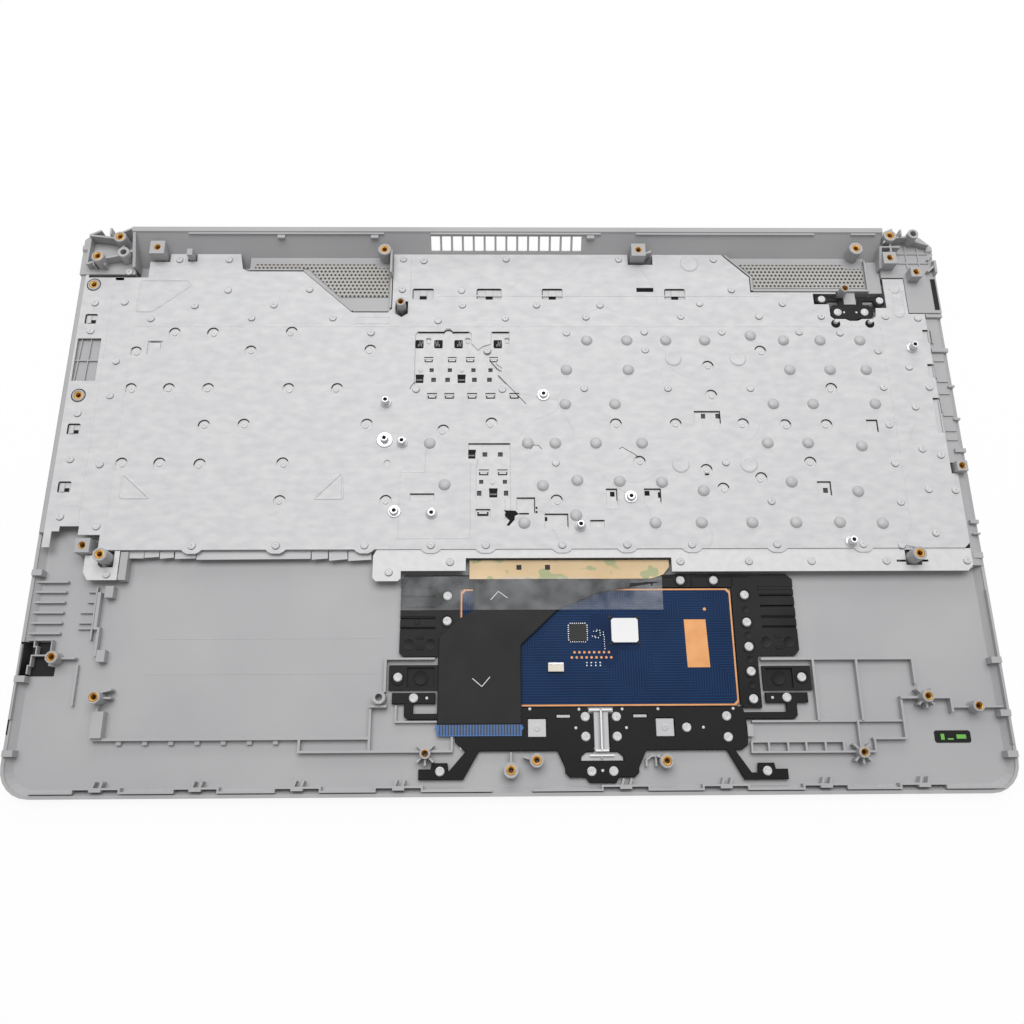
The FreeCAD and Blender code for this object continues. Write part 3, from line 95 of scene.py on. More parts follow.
def finish(name, colour, shade, rough, metal=0.0, grain=2500.0, clouds=25.0, depth=0.00004,
           stretch=(1.0, 1.0, 1.0), rough_swing=0.08, shine=0.5):
    # A material whose colour drifts between two tones and whose surface carries a fine grain.
    material = bpy.data.materials.new(name)
    material.use_nodes = True
    tree = material.node_tree
    shader = tree.nodes["Principled BSDF"]
    place = tree.nodes.new("ShaderNodeTexCoord")
    group = tree.nodes.new("ShaderNodeGroup")
    group.node_tree = GRAIN
    group.inputs["Grain Scale"].default_value = grain
    group.inputs["Cloud Scale"].default_value = clouds
    group.inputs["Stretch"].default_value = stretch
    tree.links.new(place.outputs["Object"], group.inputs["Vector"])
    spread = tree.nodes.new("ShaderNodeMapRange")
    spread.inputs["From Min"].default_value = 0.3
    spread.inputs["From Max"].default_value = 0.7
    tree.links.new(group.outputs["Clouds"], spread.inputs["Value"])
    tone = tree.nodes.new("ShaderNodeMix")
    tone.name = "tone"
    tone.data_type = "RGBA"
    tone.inputs["A"].default_value = paint(*colour)
    tone.inputs["B"].default_value = paint(*shade)
    tree.links.new(spread.outputs["Result"], tone.inputs["Factor"])
    tree.links.new(tone.outputs["Result"], shader.inputs["Base Color"])
    gloss = tree.nodes.new("ShaderNodeMapRange")
    gloss.inputs["To Min"].default_value = rough - rough_swing
    gloss.inputs["To Max"].default_value = rough + rough_swing
    tree.links.new(group.outputs["Clouds"], gloss.inputs["Value"])
    tree.links.new(gloss.outputs["Result"], shader.inputs["Roughness"])
    bump = tree.nodes.new("ShaderNodeBump")
    bump.name = "bump"
    bump.inputs["Distance"].default_value = depth
    bump.inputs["Strength"].default_value = 0.6
    tree.links.new(group.outputs["Grain"], bump.inputs["Height"])
    tree.links.new(bump.outputs["Normal"], shader.inputs["Normal"])
    shader.inputs["Metallic"].default_value = metal
    shader.inputs["Specular IOR Level"].default_value = shine
    return material


def dress(node, material):
    # A CAD node keeps its mesh and takes a finish.
    mesh = nodes[node].data
    mesh.materials.clear()
    mesh.materials.append(material)


def lay_over(material, group, settings, output, colour, strength):
    # Mixes one more colour into a finish where a group's mask says so.
    tree = material.node_tree
    shader = tree.nodes["Principled BSDF"]
    mask = tree.nodes.new("ShaderNodeGroup")
    mask.node_tree = group
    place = next(n for n in tree.nodes if n.type == "TEX_COORD")
    tree.links.new(place.outputs["Object"], mask.inputs["Vector"])
    for label, value in settings.items():
        mask.inputs[label].default_value = value
    amount = tree.nodes.new("ShaderNodeMath")
    amount.operation = "MULTIPLY"
    amount.inputs[1].default_value = strength
    tree.links.new(mask.outputs[output], amount.inputs[0])
    mix = tree.nodes.new("ShaderNodeMix")
    mix.data_type = "RGBA"
    before = shader.inputs["Base Color"].links[0].from_socket
    tree.links.new(amount.outputs[0], mix.inputs["Factor"])
    tree.links.new(before, mix.inputs["A"])
    mix.inputs["B"].default_value = paint(*colour)
    tree.links.new(mix.outputs["Result"], shader.inputs["Base Color"])
    return mask


case_grey = finish("case_grey", (172, 172, 173), (164, 164, 166), 0.52, grain=2600.0, clouds=18.0)
dress("top_case", case_grey)

# The free-standing screw bosses are round posts with a soft top edge, moulded
# with the cover. Each sleeve stands over the CAD boss and leaves its bore open.


def turned(bm, profile, x, y, steps=24):
    # Turns a profile of radius and height about an upright axis, as on a lathe.
    points = [bm.verts.new((x + r, y, z)) for r, z in profile]
    line = [bm.edges.new(pair) for pair in zip(points, points[1:])]
    bmesh.ops.spin(bm, geom=points + line, cent=(x, y, 0), axis=(0, 0, 1), angle=math.tau,
                   steps=steps, use_merge=True)


def made(name, bm, material, body="cover", soft=35):
    # Millimetres become metres, seams close, faces point outwards, and the piece rides on its body.
    bmesh.ops.remove_doubles(bm, verts=bm.verts, dist=0.0005)
    bmesh.ops.recalc_face_normals(bm, faces=bm.faces)
    mesh = bpy.data.meshes.new(name)
    bm.to_mesh(mesh)
    bm.free()
    mesh.transform(MM)
    mesh.shade_smooth()
    mesh.set_sharp_from_angle(angle=math.radians(soft))
    mesh.materials.append(material)
    piece = bpy.data.objects.new(name, mesh)
    bpy.context.scene.collection.objects.link(piece)
    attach(piece, body)
    return piece


ROUND_BOSSES = [
    (-36.0, -114.5, 2.2, 7.4), (-1.0, -121.3, 3.2, 7.0), (9.5, -117.5, 2.9, 7.4),
    (62.5, -118.0, 2.9, 7.4), (143.5, -115.0, 2.3, 7.4), (172.5, -92.7, 2.5, 9.0),
    (-172.2, -91.5, 2.7, 9.0), (-192.5, -74.8, 2.6, 8.0), (193.5, -96.7, 2.4, 8.0),
    (-176.0, -32.0, 3.0, 13.5), (176.0, -32.5, 3.0, 13.5), (-60.5, 120.0, 3.1, 13.0),
    (168.0, 121.0, 3.3, 13.0), (160.5, 99.8, 2.0, 11.5), (-52.0, 92.0, 2.2, 12.0),
    (-197.0, 115.5, 2.9, 13.8), (-187.5, 126.0, 2.9, 14.2), (185.0, 127.5, 3.1, 14.2),
    (-200.0, 104.0, 2.9, 7.2), (-199.0, 45.5, 2.9, 7.2), (-55.6, -92.0, 2.8, 7.6),
    (-185.2, 118.0, 2.8, 13.4), (196.5, 128.5, 2.6, 14.2)]
BORE = 1.47
bm = bmesh.new()
for x, y, r, top in ROUND_BOSSES:
    wall, foot = r + 0.03, 1.6
    if y > 107:
        foot = 6.0 if abs(x) > 182 else 4.6
    turned(bm, [(BORE, top - 3.9), (BORE, top - 0.1), (BORE + 0.3, top + 0.02), (wall - 0.25, top + 0.02),
                (wall, top - 0.25), (wall + 0.04, foot + 0.02), (wall, foot - 0.02), (BORE, foot - 0.02),
                (BORE, top - 3.9)], x, y)
made("boss_sleeves", bm, case_grey)

# Brass inserts for M2 screws are pressed hot into the bosses. They are turned
# from rod, with a knurl round the outside and a chamfered thread inside.


def solids_of(node):
    # Lowest and highest corners of each separate solid of a CAD node, in millimetres.
    bm = bmesh.new()
    bm.from_mesh(nodes[node].data)
    bmesh.ops.remove_doubles(bm, verts=bm.verts, dist=1e-6)
    found, seen = [], set()
    for start in bm.verts:
        if start in seen:
            continue
        stack, island = [start], []
        seen.add(start)
        while stack:
            v = stack.pop()
            island.append(v.co * 1000)
            for e in v.link_edges:
                w = e.other_vert(v)
                if w not in seen:
                    seen.add(w)
                    stack.append(w)
        low = Vector([min(c[k] for c in island) for k in range(3)])
        high = Vector([max(c[k] for c in island) for k in range(3)])
        found.append((low, high))
    bm.free()
    return found


brass = finish("turned_brass", (190, 144, 74), (142, 100, 46), 0.38, metal=0.7, grain=900.0, clouds=420.0,
               depth=0.00003)
bm = bmesh.new()
for low, high in solids_of("brass_inserts"):
    x, y, top = (low.x + high.x) / 2, (low.y + high.y) / 2, high.z
    near = [r for bx, by, r, t in ROUND_BOSSES if math.hypot(bx - x, by - y) < 1.0]
    rim = min(2.05, near[0] - 0.7) if near else 1.68
    turned(bm, [(0.84, top - 3.9), (0.84, top - 1.3), (0.98, top - 1.15), (0.86, top - 1.0),
                (0.98, top - 0.85), (0.86, top - 0.7), (0.98, top - 0.55), (0.9, top - 0.4),
                (1.15, top + 0.03), (rim - 0.15, top + 0.17), (rim, top + 0.12), (1.44, top - 0.12),
                (1.44, top - 3.9), (0.84, top - 3.9)], x, y, 24)
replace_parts(made("knurled_inserts", bm, brass), "brass_inserts")

# Under the keys lies a black block of caps, scissors and membrane, and on it a
# pressed steel plate whose folded hooks show through the shield's windows.
key_black = finish("key_plastic", (52, 52, 55), (44, 44, 47), 0.55)
dress("key_set", key_black)
plate_steel = finish("plate_steel", (204, 204, 205), (194, 194, 195), 0.55, metal=0.06, grain=1100.0,
                     clouds=320.0, rough_swing=0.03)
dress("keyboard_base_plate", plate_steel)


def block(bm, x0, x1, y0, y1, z0, z1, turn=0.0):
    # A plain block; pieces that show get their edges from the bevel that follows.
    made_here = bmesh.ops.create_cube(bm, size=1.0)
    verts = made_here["verts"]
    bmesh.ops.scale(bm, verts=verts, vec=(x1 - x0, y1 - y0, z1 - z0))
    if turn:
        bmesh.ops.rotate(bm, verts=verts, cent=(0, 0, 0),
                         matrix=Matrix.Rotation(math.radians(turn), 3, "Z"))
    bmesh.ops.translate(bm, verts=verts, vec=((x0 + x1) / 2, (y0 + y1) / 2, (z0 + z1) / 2))
    return verts


def soften(bm, width, segments=1):
    # Breaks every sharp edge of the mesh by a small round.
    sharp = [e for e in bm.edges if len(e.link_faces) == 2 and e.calc_face_angle(0) > 0.6]
    bmesh.ops.bevel(bm, geom=sharp, offset=width, segments=segments, profile=0.5, affect="EDGES",
                    material=-1)


LIP_HOOKS = [((-38.5, -27.5, -19.0, -8.0), 64.3, 4.0), ((-36.5, -28.5, -18.0, -9.5, 1.5), 45.6, 4.2),
             ((-12.5, -4.0), 7.8, 4.4), ((-12.8,), -11.0, 5.0)]
ARCH_HOOKS = [(-42.5, 54.0), (-23.0, 54.0), (-18.0, 16.2), (-8.2, -2.4)]
bm = bmesh.new()
for xs, y, w in LIP_HOOKS:
    for x in xs:
        block(bm, x - w / 2, x + w / 2, y - 0.3, y + 0.35, 6.4, 6.9)
        block(bm, x - w * 0.36, x + w * 0.36, y - 1.2, y - 0.3, 6.6, 6.8)
soften(bm, 0.08)
for x, y in ((-38.7, 73.2), (-20.2, 73.4), (-1.7, 73.4), (-42.2, 58.4), (-22.9, 58.4), (-8.6, 2.6)):
    turned(bm, [(1.05, 6.48), (1.0, 6.66), (0.7, 6.82), (0.0, 6.88)], x, y, 16)
made("plate_hooks", bm, plate_steel)

# The shield is one sheet of bright tinned steel, stamped with windows for the
# clips, hooks and posts. It lies on the plate and is held by melted stakes.


def cut_sheet(name, outline, windows, rounds, low, high, material, body="cover", edge=0.08):
    # A sheet stamped from a flat drawing: straight-sided windows, round windows as x, y and radius.
    drawing = bpy.data.curves.new(name, "CURVE")
    drawing.dimensions = "2D"
    drawing.fill_mode = "BOTH"
    drawing.extrude = (high - low) / 2 - edge
    drawing.bevel_depth = edge
    drawing.bevel_resolution = 0
    drawing.offset = -edge
    for corners in [outline] + list(windows):
        spline = drawing.splines.new("POLY")
        spline.points.add(len(corners) - 1)
        for point, (x, y) in zip(spline.points, corners):
            point.co = (x, y, 0, 1)
        spline.use_cyclic_u = True
    for x, y, r in rounds:
        spline = drawing.splines.new("BEZIER")
        spline.bezier_points.add(3)
        spline.resolution_u = 6
        for point, (dx, dy) in zip(spline.bezier_points, ((r, 0), (0, r), (-r, 0), (0, -r))):
            point.co = (x + dx, y + dy, 0)
            point.handle_left_type = point.handle_right_type = "AUTO"
        spline.use_cyclic_u = True
    holder = bpy.data.objects.new(name + "_drawing", drawing)
    bpy.context.scene.collection.objects.link(holder)
    bpy.context.view_layer.update()
    flat = bpy.data.meshes.new_from_object(holder.evaluated_get(bpy.context.evaluated_depsgraph_get()))
    bpy.data.objects.remove(holder)
    bm = bmesh.new()
    bm.from_mesh(flat)
    bmesh.ops.translate(bm, verts=bm.verts, vec=(0, 0, (low + high) / 2))
    return bm if material is None else made(name, bm, material, body, soft=25)


def rect(x0, x1, y0, y1):
    return [(x0, y0), (x1, y0), (x1, y1), (x0, y1)]


def cut_corners(x0, x1, y0, y1, c):
    return [(x0 + c, y0), (x1 - c, y0), (x1, y0 + c), (x1, y1 - c), (x1 - c, y1), (x0 + c, y1),
            (x0, y1 - c), (x0, y0 + c)]


FRONT_ROW = [-139.5, -103.0, -64.5, -35.5, -11.5, 22.0, 50.5, 79.0, 116.5, 154.5]
REAR_EDGE = 121.2
shield_edge = [(-204.5, -27.0), (-201.2, -27.0), (-201.2, -19.8), (-198.0, -19.8), (-198.0, -17.5),
               (-189.6, -17.5), (-189.6, -21.5), (-180.0, -21.5), (-180.0, -28.4)]
for x in FRONT_ROW:
    shield_edge += [(x - 4.4, -28.4), (x - 3.4, -29.4), (x - 1.8, -30.2), (x + 1.8, -30.2),
                    (x + 3.4, -29.4), (x + 4.4, -28.4)]
shield_edge += [
    (171.0, -28.4), (173.5, -27.2), (179.5, -28.4), (199.5, -28.4), (202.0, -26.0), (202.0, 6.5),
    (199.2, 6.5), (199.2, 26.5), (196.2, 26.5), (196.2, 44.0), (199.2, 44.0), (199.2, 54.5),
    (196.4, 54.5), (196.4, 61.5), (199.3, 61.5), (199.3, 73.0), (196.8, 73.0), (196.8, 79.7),
    (199.3, 79.7), (199.3, 88.4), (191.5, 88.4), (191.5, 107.6), (181.3, 107.6), (181.3, 91.6),
    (176.0, 91.6), (175.4, 87.0), (173.6, 85.6), (168.6, 85.6), (166.4, 84.6), (162.6, 84.6),
    (160.6, 85.6), (155.2, 85.6), (153.6, 87.2), (153.6, 93.6), (146.4, 93.6), (146.4, 99.4),
    (157.6, 99.4), (157.6, 100.2), (116.2, 100.2), (116.2, 108.4), (103.4, REAR_EDGE), (69.6, REAR_EDGE),
    (69.6, 115.5), (57.5, 115.5), (57.5, REAR_EDGE), (-56.6, REAR_EDGE), (-56.6, 91.0), (-58.5, 89.0),
    (-75.5, 89.0), (-100.0, 111.5), (-127.0, 111.5), (-129.5, 113.0), (-131.0, REAR_EDGE),
    (-152.0, REAR_EDGE), (-152.0, 117.0), (-156.4, 117.0), (-156.4, REAR_EDGE), (-165.0, REAR_EDGE),
    (-165.0, 116.8), (-174.5, 116.8), (-174.5, 108.0), (-203.0, 108.0), (-203.0, 109.5), (-204.5, 109.5)]
REAR_CLIPS = [(-47.0, -36.8), (-16.2, -4.2), (15.2, 25.2), (74.4, 84.4)]
LEFT_CLIPS = (82.6, 26.0, -2.0)
windows = [cut_corners(-201.6, -195.8, y, y + 5.4, 0.6) for y in LEFT_CLIPS]
windows += [cut_corners(x0, x1, 96.0, 102.0, 0.6) for x0, x1 in REAR_CLIPS]
windows.append(rect(-203.4, -192.5, 53.0, 75.0))
windows += [
    rect(-190.0, -186.0, 106.5, 108.0),
    rect(61.0, 69.2, 100.3, 102.6),
    [(-55.0, 88.5), (-52.0, 86.5), (-49.0, 88.5), (-49.0, 95.0), (-55.0, 95.0)],
    [(-45.0, 50.5), (-45.0, 77.0), (-44.0, 78.6), (-31.6, 78.6), (-30.6, 80.2), (-28.4, 80.2),
     (-27.4, 78.6), (-19.5, 78.6), (-18.5, 77.5), (-18.5, 72.5), (-15.5, 69.0), (-13.0, 71.0),
     (-9.5, 72.0), (-9.0, 78.6), (-0.6, 78.6), (-0.6, 71.0), (-7.0, 62.0), (-4.0, 59.5), (-6.0, 55.5),
     (-2.0, 51.0), (-7.5, 51.0), (-40.0, 51.0)],
    rect(-38.8, -34.2, 43.6, 46.6), rect(-30.8, -26.2, 43.6, 46.6), rect(-20.3, -15.7, 43.6, 46.6),
    rect(-11.8, -7.2, 43.6, 46.6), rect(-0.8, 3.8, 43.6, 46.6),
    [(-19.5, 14.0), (-19.5, 21.5), (-0.5, 21.5), (-0.5, 1.0), (-0.5, -15.0), (-3.0, -17.5), (-3.0, -5.5),
     (-16.0, -5.5), (-16.0, 9.0), (-15.0, 14.0)],
    [(-16.0, -14.0), (-9.5, -14.0), (-9.5, -10.0), (-16.0, -10.0)],
    rect(-45.3, -34.5, -6.0, -2.6),
    [(84.3, 30.0), (90.5, 30.0), (92.0, 28.6), (94.8, 28.6), (96.4, 31.0), (96.4, 37.4), (84.3, 37.4)],
    rect(163.6, 168.8, 26.6, 33.0), rect(137.4, 143.6, -4.2, 2.8), rect(42.2, 47.2, -8.0, -0.5),
    rect(59.2, 66.8, -8.0, -0.5), rect(14.6, 25.0, -19.2, -12.2), rect(34.6, 41.0, -18.6, -15.2),
    rect(2.2, 10.4, -12.2, -4.6),
    [(-170.4, 66.5), (-169.6, 66.5), (-169.6, 72.8), (-164.4, 72.8), (-164.4, 69.5), (-163.4, 69.5),
     (-163.4, 73.7), (-170.4, 73.7)]]
ROUND_WINDOWS = [
    (-158.5, 78), (-140.5, 78), (-103.5, 78.5), (-175.5, 68), (-122, 68.5), (-66, 69), (-175.5, 49),
    (-158, 49), (-140, 49), (-103, 49), (-80.5, 49), (-140, 30.5), (-122, 31), (-66, 31), (-175, 12),
    (-158, 12), (-140, 11.5), (-103, 12), (-103, -6), (-56, -6), (118, 68.5), (149.5, 49), (92.5, 60.5),
    (93, 45.5), (-9, 31.5), (48, 31), (75.5, 31), (106.5, 31), (126, 30.5), (145, 30.5), (135.5, 12),
    (20, -6), (-31, 28), (58, 12.5), (88, 8.5), (112.5, 4.5), (95, -0.5)]
rounds = [(x, y, 2.75) for x, y in ROUND_WINDOWS] + [(-200.0, 104.0, 3.4), (-199.0, 45.5, 3.4),
                                                     (-56.0, 12.0, 1.5)]
tinned_steel = finish("tinned_steel", (204, 204, 205), (192, 192, 194), 0.58, metal=0.06, grain=1100.0,
                      clouds=320.0, depth=0.00005, stretch=(0.5, 1.0, 1.0), rough_swing=0.03)


def crease_group():
    # Long wandering folds: the borders of large warped cells, fading in and out.
    group, entry, result = new_group(
        "film_creases", [("Vector", "NodeSocketVector", None), ("Scale", "NodeSocketFloat", 34.0),
                         ("From X", "NodeSocketFloat", -0.02)], [("Creases", "NodeSocketFloat")])
    warp = group.nodes.new("ShaderNodeTexNoise")
    warp.inputs["Scale"].default_value = 40.0
    warp.inputs["Detail"].default_value = 0.5
    group.links.new(entry.outputs["Vector"], warp.inputs["Vector"])
    bend = group.nodes.new("ShaderNodeVectorMath")
    bend.operation = "MULTIPLY_ADD"
    bend.inputs[1].default_value = (0.03, 0.03, 0.0)
    group.links.new(warp.outputs["Color"], bend.inputs[0])
    group.links.new(entry.outputs["Vector"], bend.inputs[2])
    cell = group.nodes.new("ShaderNodeTexVoronoi")
    cell.feature = "DISTANCE_TO_EDGE"
    cell.voronoi_dimensions = "2D"
    group.links.new(bend.outputs[0], cell.inputs["Vector"])
    group.links.new(entry.outputs["Scale"], cell.inputs["Scale"])
    line = group.nodes.new("ShaderNodeMapRange")
    line.inputs["From Min"].default_value = 0.006
    line.inputs["From Max"].default_value = 0.016
    line.inputs["To Min"].default_value = 1.0
    line.inputs["To Max"].default_value = 0.0
    group.links.new(cell.outputs["Distance"], line.inputs["Value"])
    fade = group.nodes.new("ShaderNodeTexNoise")
    fade.inputs["Scale"].default_value = 28.0
    group.links.new(entry.outputs["Vector"], fade.inputs["Vector"])
    keep = group.nodes.new("ShaderNodeMapRange")
    keep.inputs["From Min"].default_value = 0.5
    keep.inputs["From Max"].default_value = 0.64
    group.links.new(fade.outputs["Fac"], keep.inputs["Value"])
    split = group.nodes.new("ShaderNodeSeparateXYZ")
    group.links.new(entry.outputs["Vector"], split.inputs[0])
    side = group.nodes.new("ShaderNodeMath")
    side.operation = "GREATER_THAN"
    group.links.new(split.outputs["X"], side.inputs[0])
    group.links.new(entry.outputs["From X"], side.inputs[1])
    value = line.outputs["Result"]
    for other in (keep.outputs["Result"], side.outputs[0]):
        both = group.nodes.new("ShaderNodeMath")
        both.operation = "MULTIPLY"
        group.links.new(value, both.inputs[0])
        group.links.new(other, both.inputs[1])
        value = both.outputs[0]
    group.links.new(value, result.inputs["Creases"])
    return group


lay_over(tinned_steel, crease_group(), {"Scale": 26.0, "From X": -0.02}, "Creases", (168, 168, 170), 0.32)
shield = cut_sheet("shield_sheet", shield_edge, windows, rounds, 6.5, 7.0, tinned_steel)
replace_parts(shield, "keyboard_shield")

# Snap clips of the cover stand in the clip windows: a light pad and a bright tab, with a dark block of
# painted shade under the tab. Thin black strips along the rear side of every cut-out are painted shadow
# of the sheet's edge. The dark and grey blocks round the hooks are painted shade.
clip_grey = finish("clip_plastic", (196, 196, 197), (186, 186, 188), 0.45)
bm = bmesh.new()
for x0, x1 in REAR_CLIPS:
    m = (x0 + x1) / 2
    block(bm, x0 - 0.3, x1 + 0.3, 95.7, 102.3, 5.9, 6.35)
    block(bm, m - 1.7, m + 1.7, 98.0, 101.0, 6.3, 6.85)
for y in LEFT_CLIPS:
    block(bm, -201.9, -195.5, y - 0.3, y + 5.7, 5.9, 6.35)
    block(bm, -200.4, -198.7, y + 0.6, y + 4.6, 6.3, 6.85)
for x, y0, y1 in ((196.6, 73.0, 79.7), (196.2, 54.5, 61.5), (196.0, 26.5, 44.0)):
    block(bm, x, x + 3.2, y0, y1, 5.9, 6.3)
    block(bm, x + 2.6, x + 3.2, y0, y1 - 1.2, 6.2, 7.0)
soften(bm, 0.12)
made("clip_pads", bm, clip_grey)
# A near-black finish for painted shade and shadow: at cut edges, in cuts and bores, and at the feet of
# parts.
shadow_paint = finish("painted_shadow_black", (9, 9, 10), (5, 5, 6), 0.9)
bm = bmesh.new()
for x0, x1 in REAR_CLIPS:
    m = (x0 + x1) / 2
    block(bm, x0 + 0.1, x1 - 0.1, 101.55, 102.0, 6.35, 6.9)
    block(bm, x0, x0 + 0.3, 96.8, 101.6, 6.35, 6.8)
    block(bm, m - 1.7, m + 1.7, 96.4, 97.9, 6.35, 6.5)
for y in LEFT_CLIPS:
    block(bm, -201.2, -196.2, y + 5.0, y + 5.4, 6.35, 6.9)
    block(bm, -201.6, -201.2, y + 0.6, y + 5.0, 6.35, 6.8)
    block(bm, -198.6, -196.6, y + 0.7, y + 2.4, 6.35, 6.5)
for x, y1 in ((196.8, 79.7), (196.4, 61.5), (196.2, 44.0)):
    block(bm, x - 0.2, x + 2.4, y1 - 0.5, y1, 6.35, 6.9)
for x0, x1, y in ((-44.0, -31.8, 78.7), (-27.2, -19.6, 78.7), (-8.9, -0.7, 78.7), (-43.6, -31.8, 78.4),
                  (-27.2, -20.0, 78.4), (-8.6, -1.0, 78.4), (84.4, 96.2, 37.3), (163.7, 168.7, 32.9),
                  (137.5, 143.5, 2.7), (42.3, 47.1, -0.6), (59.3, 66.7, -0.6), (14.7, 24.9, -12.3),
                  (34.7, 40.9, -15.3), (2.3, 10.3, -4.7), (-45.2, -34.6, -2.7), (-19.4, -0.6, 21.4),
                  (-15.9, -9.6, -10.1), (-169.5, -164.5, 73.2)):
    block(bm, x0, x1, y - 0.34, y, 6.5, 6.92)
for x, y0, y1 in ((-45.0, 52.0, 76.8), (47.1, -6.0, -0.8), (66.7, -6.5, -0.8), (24.9, -18.0, -12.4),
                  (143.5, -3.6, 2.6), (168.7, 27.2, 32.8), (10.3, -11.6, -4.8), (96.3, 31.5, 37.0)):
    block(bm, x - 0.3, x, y0, y1, 6.5, 6.8)
for x in (-43.1, -34.1, -24.6, -6.1):
    block(bm, x - 2.0, x + 2.0, 70.4, 74.2, 6.5, 6.56)
for xs, y, w in LIP_HOOKS:
    for x in xs:
        block(bm, x - w / 2 - 0.1, x + w / 2 + 0.1, y + 0.75, y + 1.05, 6.5, 6.7)
grey = bmesh.new()
for x, y in ARCH_HOOKS:
    block(grey, x - 1.4, x + 1.4, y - 0.9, y - 0.2, 6.56, 6.64)
    block(bm, x - 1.9, x + 1.9, y + 1.0, y + 2.3, 6.5, 6.6)
    block(bm, x - 1.5, x + 1.5, y - 0.3, y + 1.0, 6.5, 6.58)
    block(bm, x - 1.7, x + 1.7, y - 2.0, y - 0.9, 6.5, 6.58)
block(bm, 3.2, 7.6, -12.6, -11.9, 6.98, 7.05)
for x, y in ((10.6, -10.0), (10.6, -12.0)):
    block(bm, x, x + 0.8, y, y + 1.0, 6.98, 7.03)
for x, y, w, h in ((14.9, -14.6, 1.6, 1.8), (36.0, -2.9, 0.1, 0.1), (45.0, -3.0, 2.0, 2.2),
                   (60.6, -2.6, 2.2, 2.2), (65.9, -3.4, 0.9, 2.6), (88.2, 5.6, 2.0, 2.2)):
    block(bm, x - w / 2, x + w / 2, y - h / 2, y + h / 2, 6.5, 6.6)
for i, x in enumerate((-43.1, -34.1, -24.6, -6.1)):
    for k, (dx, y0, y1) in enumerate(((-0.4, 70.8, 72.2), (0.3, 71.4, 73.8), (1.0, 70.9, 72.9),
                                      (1.5, 72.6, 73.9))):
        side = -1 if i == 1 else 1
        block(grey, x + side * dx - 0.25, x + side * dx + 0.25, y0, y1, 6.52, 6.6)
made("hook_shade", grey, finish("hook_shade", (128, 128, 129), (96, 96, 97), 0.6, clouds=900.0))
made("painted_shadow_lines", bm, shadow_paint)
# An arrow-shaped mouth in the sheet, laid on top as a thin black shape of painted shade.
cut_sheet("arrow_mouth", [(-3.6, -10.6), (1.6, -10.8), (3.2, -12.4), (1.4, -13.2), (1.2, -15.0),
                          (-1.2, -17.8), (-2.4, -17.6), (-0.8, -15.2), (-2.6, -13.6), (-3.2, -12.4),
                          (-2.4, -11.8)], [], [],
          6.99, 7.05, shadow_paint, edge=0.01)

# Pressed into the same sheet: round domes that stiffen it over the keys, rings,
# and rounded beads along its steps. A punch raised them from below.
DOMES = [
    (36, 74), (55, 74), (73.5, 74), (92, 74), (114, 76.5), (129.5, 74), (147, 74), (166, 74), (26, 58.5),
    (55, 58.5), (131, 58.5), (150, 58.5), (167, 58.5), (25, 41), (48, 41), (121.5, 41), (140, 41),
    (169, 41), (-37, 21.5), (7.5, 21.5), (20, 21.5), (38.5, 21.5), (59.5, 21.5), (117, 21.5),
    (135.5, 21.5), (160, 20), (-30, 1.5), (14, 1), (29.5, 3.5), (48.5, 3), (67.5, 2.5), (86, -1.5),
    (126, 2.5), (155.5, -2), (5.5, -16.5), (28.5, -13), (63.5, -16.5), (84, -16.5), (106.5, -16.5),
    (126, -16.5), (145.5, -16.5), (164.5, -17)]
bm = bmesh.new()
for x, y in DOMES:
    turned(bm, [(2.8, 6.95), (2.72, 7.05), (2.45, 7.5), (2.0, 7.86), (1.3, 8.1), (0.6, 8.2), (0.0, 8.22)],
           x, y)
# The domes take a darker copy of the sheet's finish: painted shade for their curved faces.
dome_shaded_steel = finish("dome_shaded_steel", (186, 186, 187), (176, 176, 178), 0.5, metal=0.06, grain=1100.0,
                     clouds=320.0)
made("pressed_domes", bm, dome_shaded_steel, soft=60)
bm = bmesh.new()
for x, y, r in ((76.5, 64.5, 4.0), (107.0, 64.5, 4.0), (76.5, 11.0, 4.0), (107.5, 11.0, 4.0),
                (186.5, 102.0, 2.6), (87.5, 116.0, 4.4)):
    turned(bm, [(r + 0.1, 6.98), (r - 0.1, 7.2), (r - 0.5, 7.42), (r - 1.0, 7.44), (r - 1.5, 7.34),
                (0.0, 7.3)], x, y, 36)
made("pressed_rings", bm, tinned_steel, soft=60)

STEPS = [
    [(-73.5, 86.5), (-57.5, 86.5)], [(-73.5, 83.2), (-57.5, 83.2)],
    [(-177.9, -20), (-178, 81.3), (177, 81.5), (177, -16), (176, -20), (173, -23)],
    [(-190, -16), (-190, 107)], [(-48, 98), (-48, 120)], [(-36, 98), (13, 98), (27, 98), (73, 98),
                                                          (86, 98), (120, 98)],
    [(-50, -23.5), (-18.5, -23.5), (-18.5, 12)], [(-38.5, 21), (-39, 7.5), (-50, 7.5), (-50, -23.5)],
    [(41.5, -10), (47.8, -10), (47.8, -0.2)]]
EMBOSSES = [[(-177.5, 106.5), (-154.5, 106.5), (-153.2, 104), (-170.5, 89.5), (-177.8, 89.5)],
            [(-173.5, 7), (-160.5, -4.5), (-173.5, -4.5)], [(-88, -5), (-75, -5), (-76, 7.5)]]


def eased(corners, cut):
    # A closed outline with every corner rounded off by three short sides.
    out = []
    for i, corner in enumerate(corners):
        c = Vector(corner)
        back = (Vector(corners[i - 1]) - c).normalized() * cut
        on = (Vector(corners[(i + 1) % len(corners)]) - c).normalized() * cut
        out += [tuple(c + back), tuple(c + (back + on) * 0.22), tuple(c + on)]
    return out


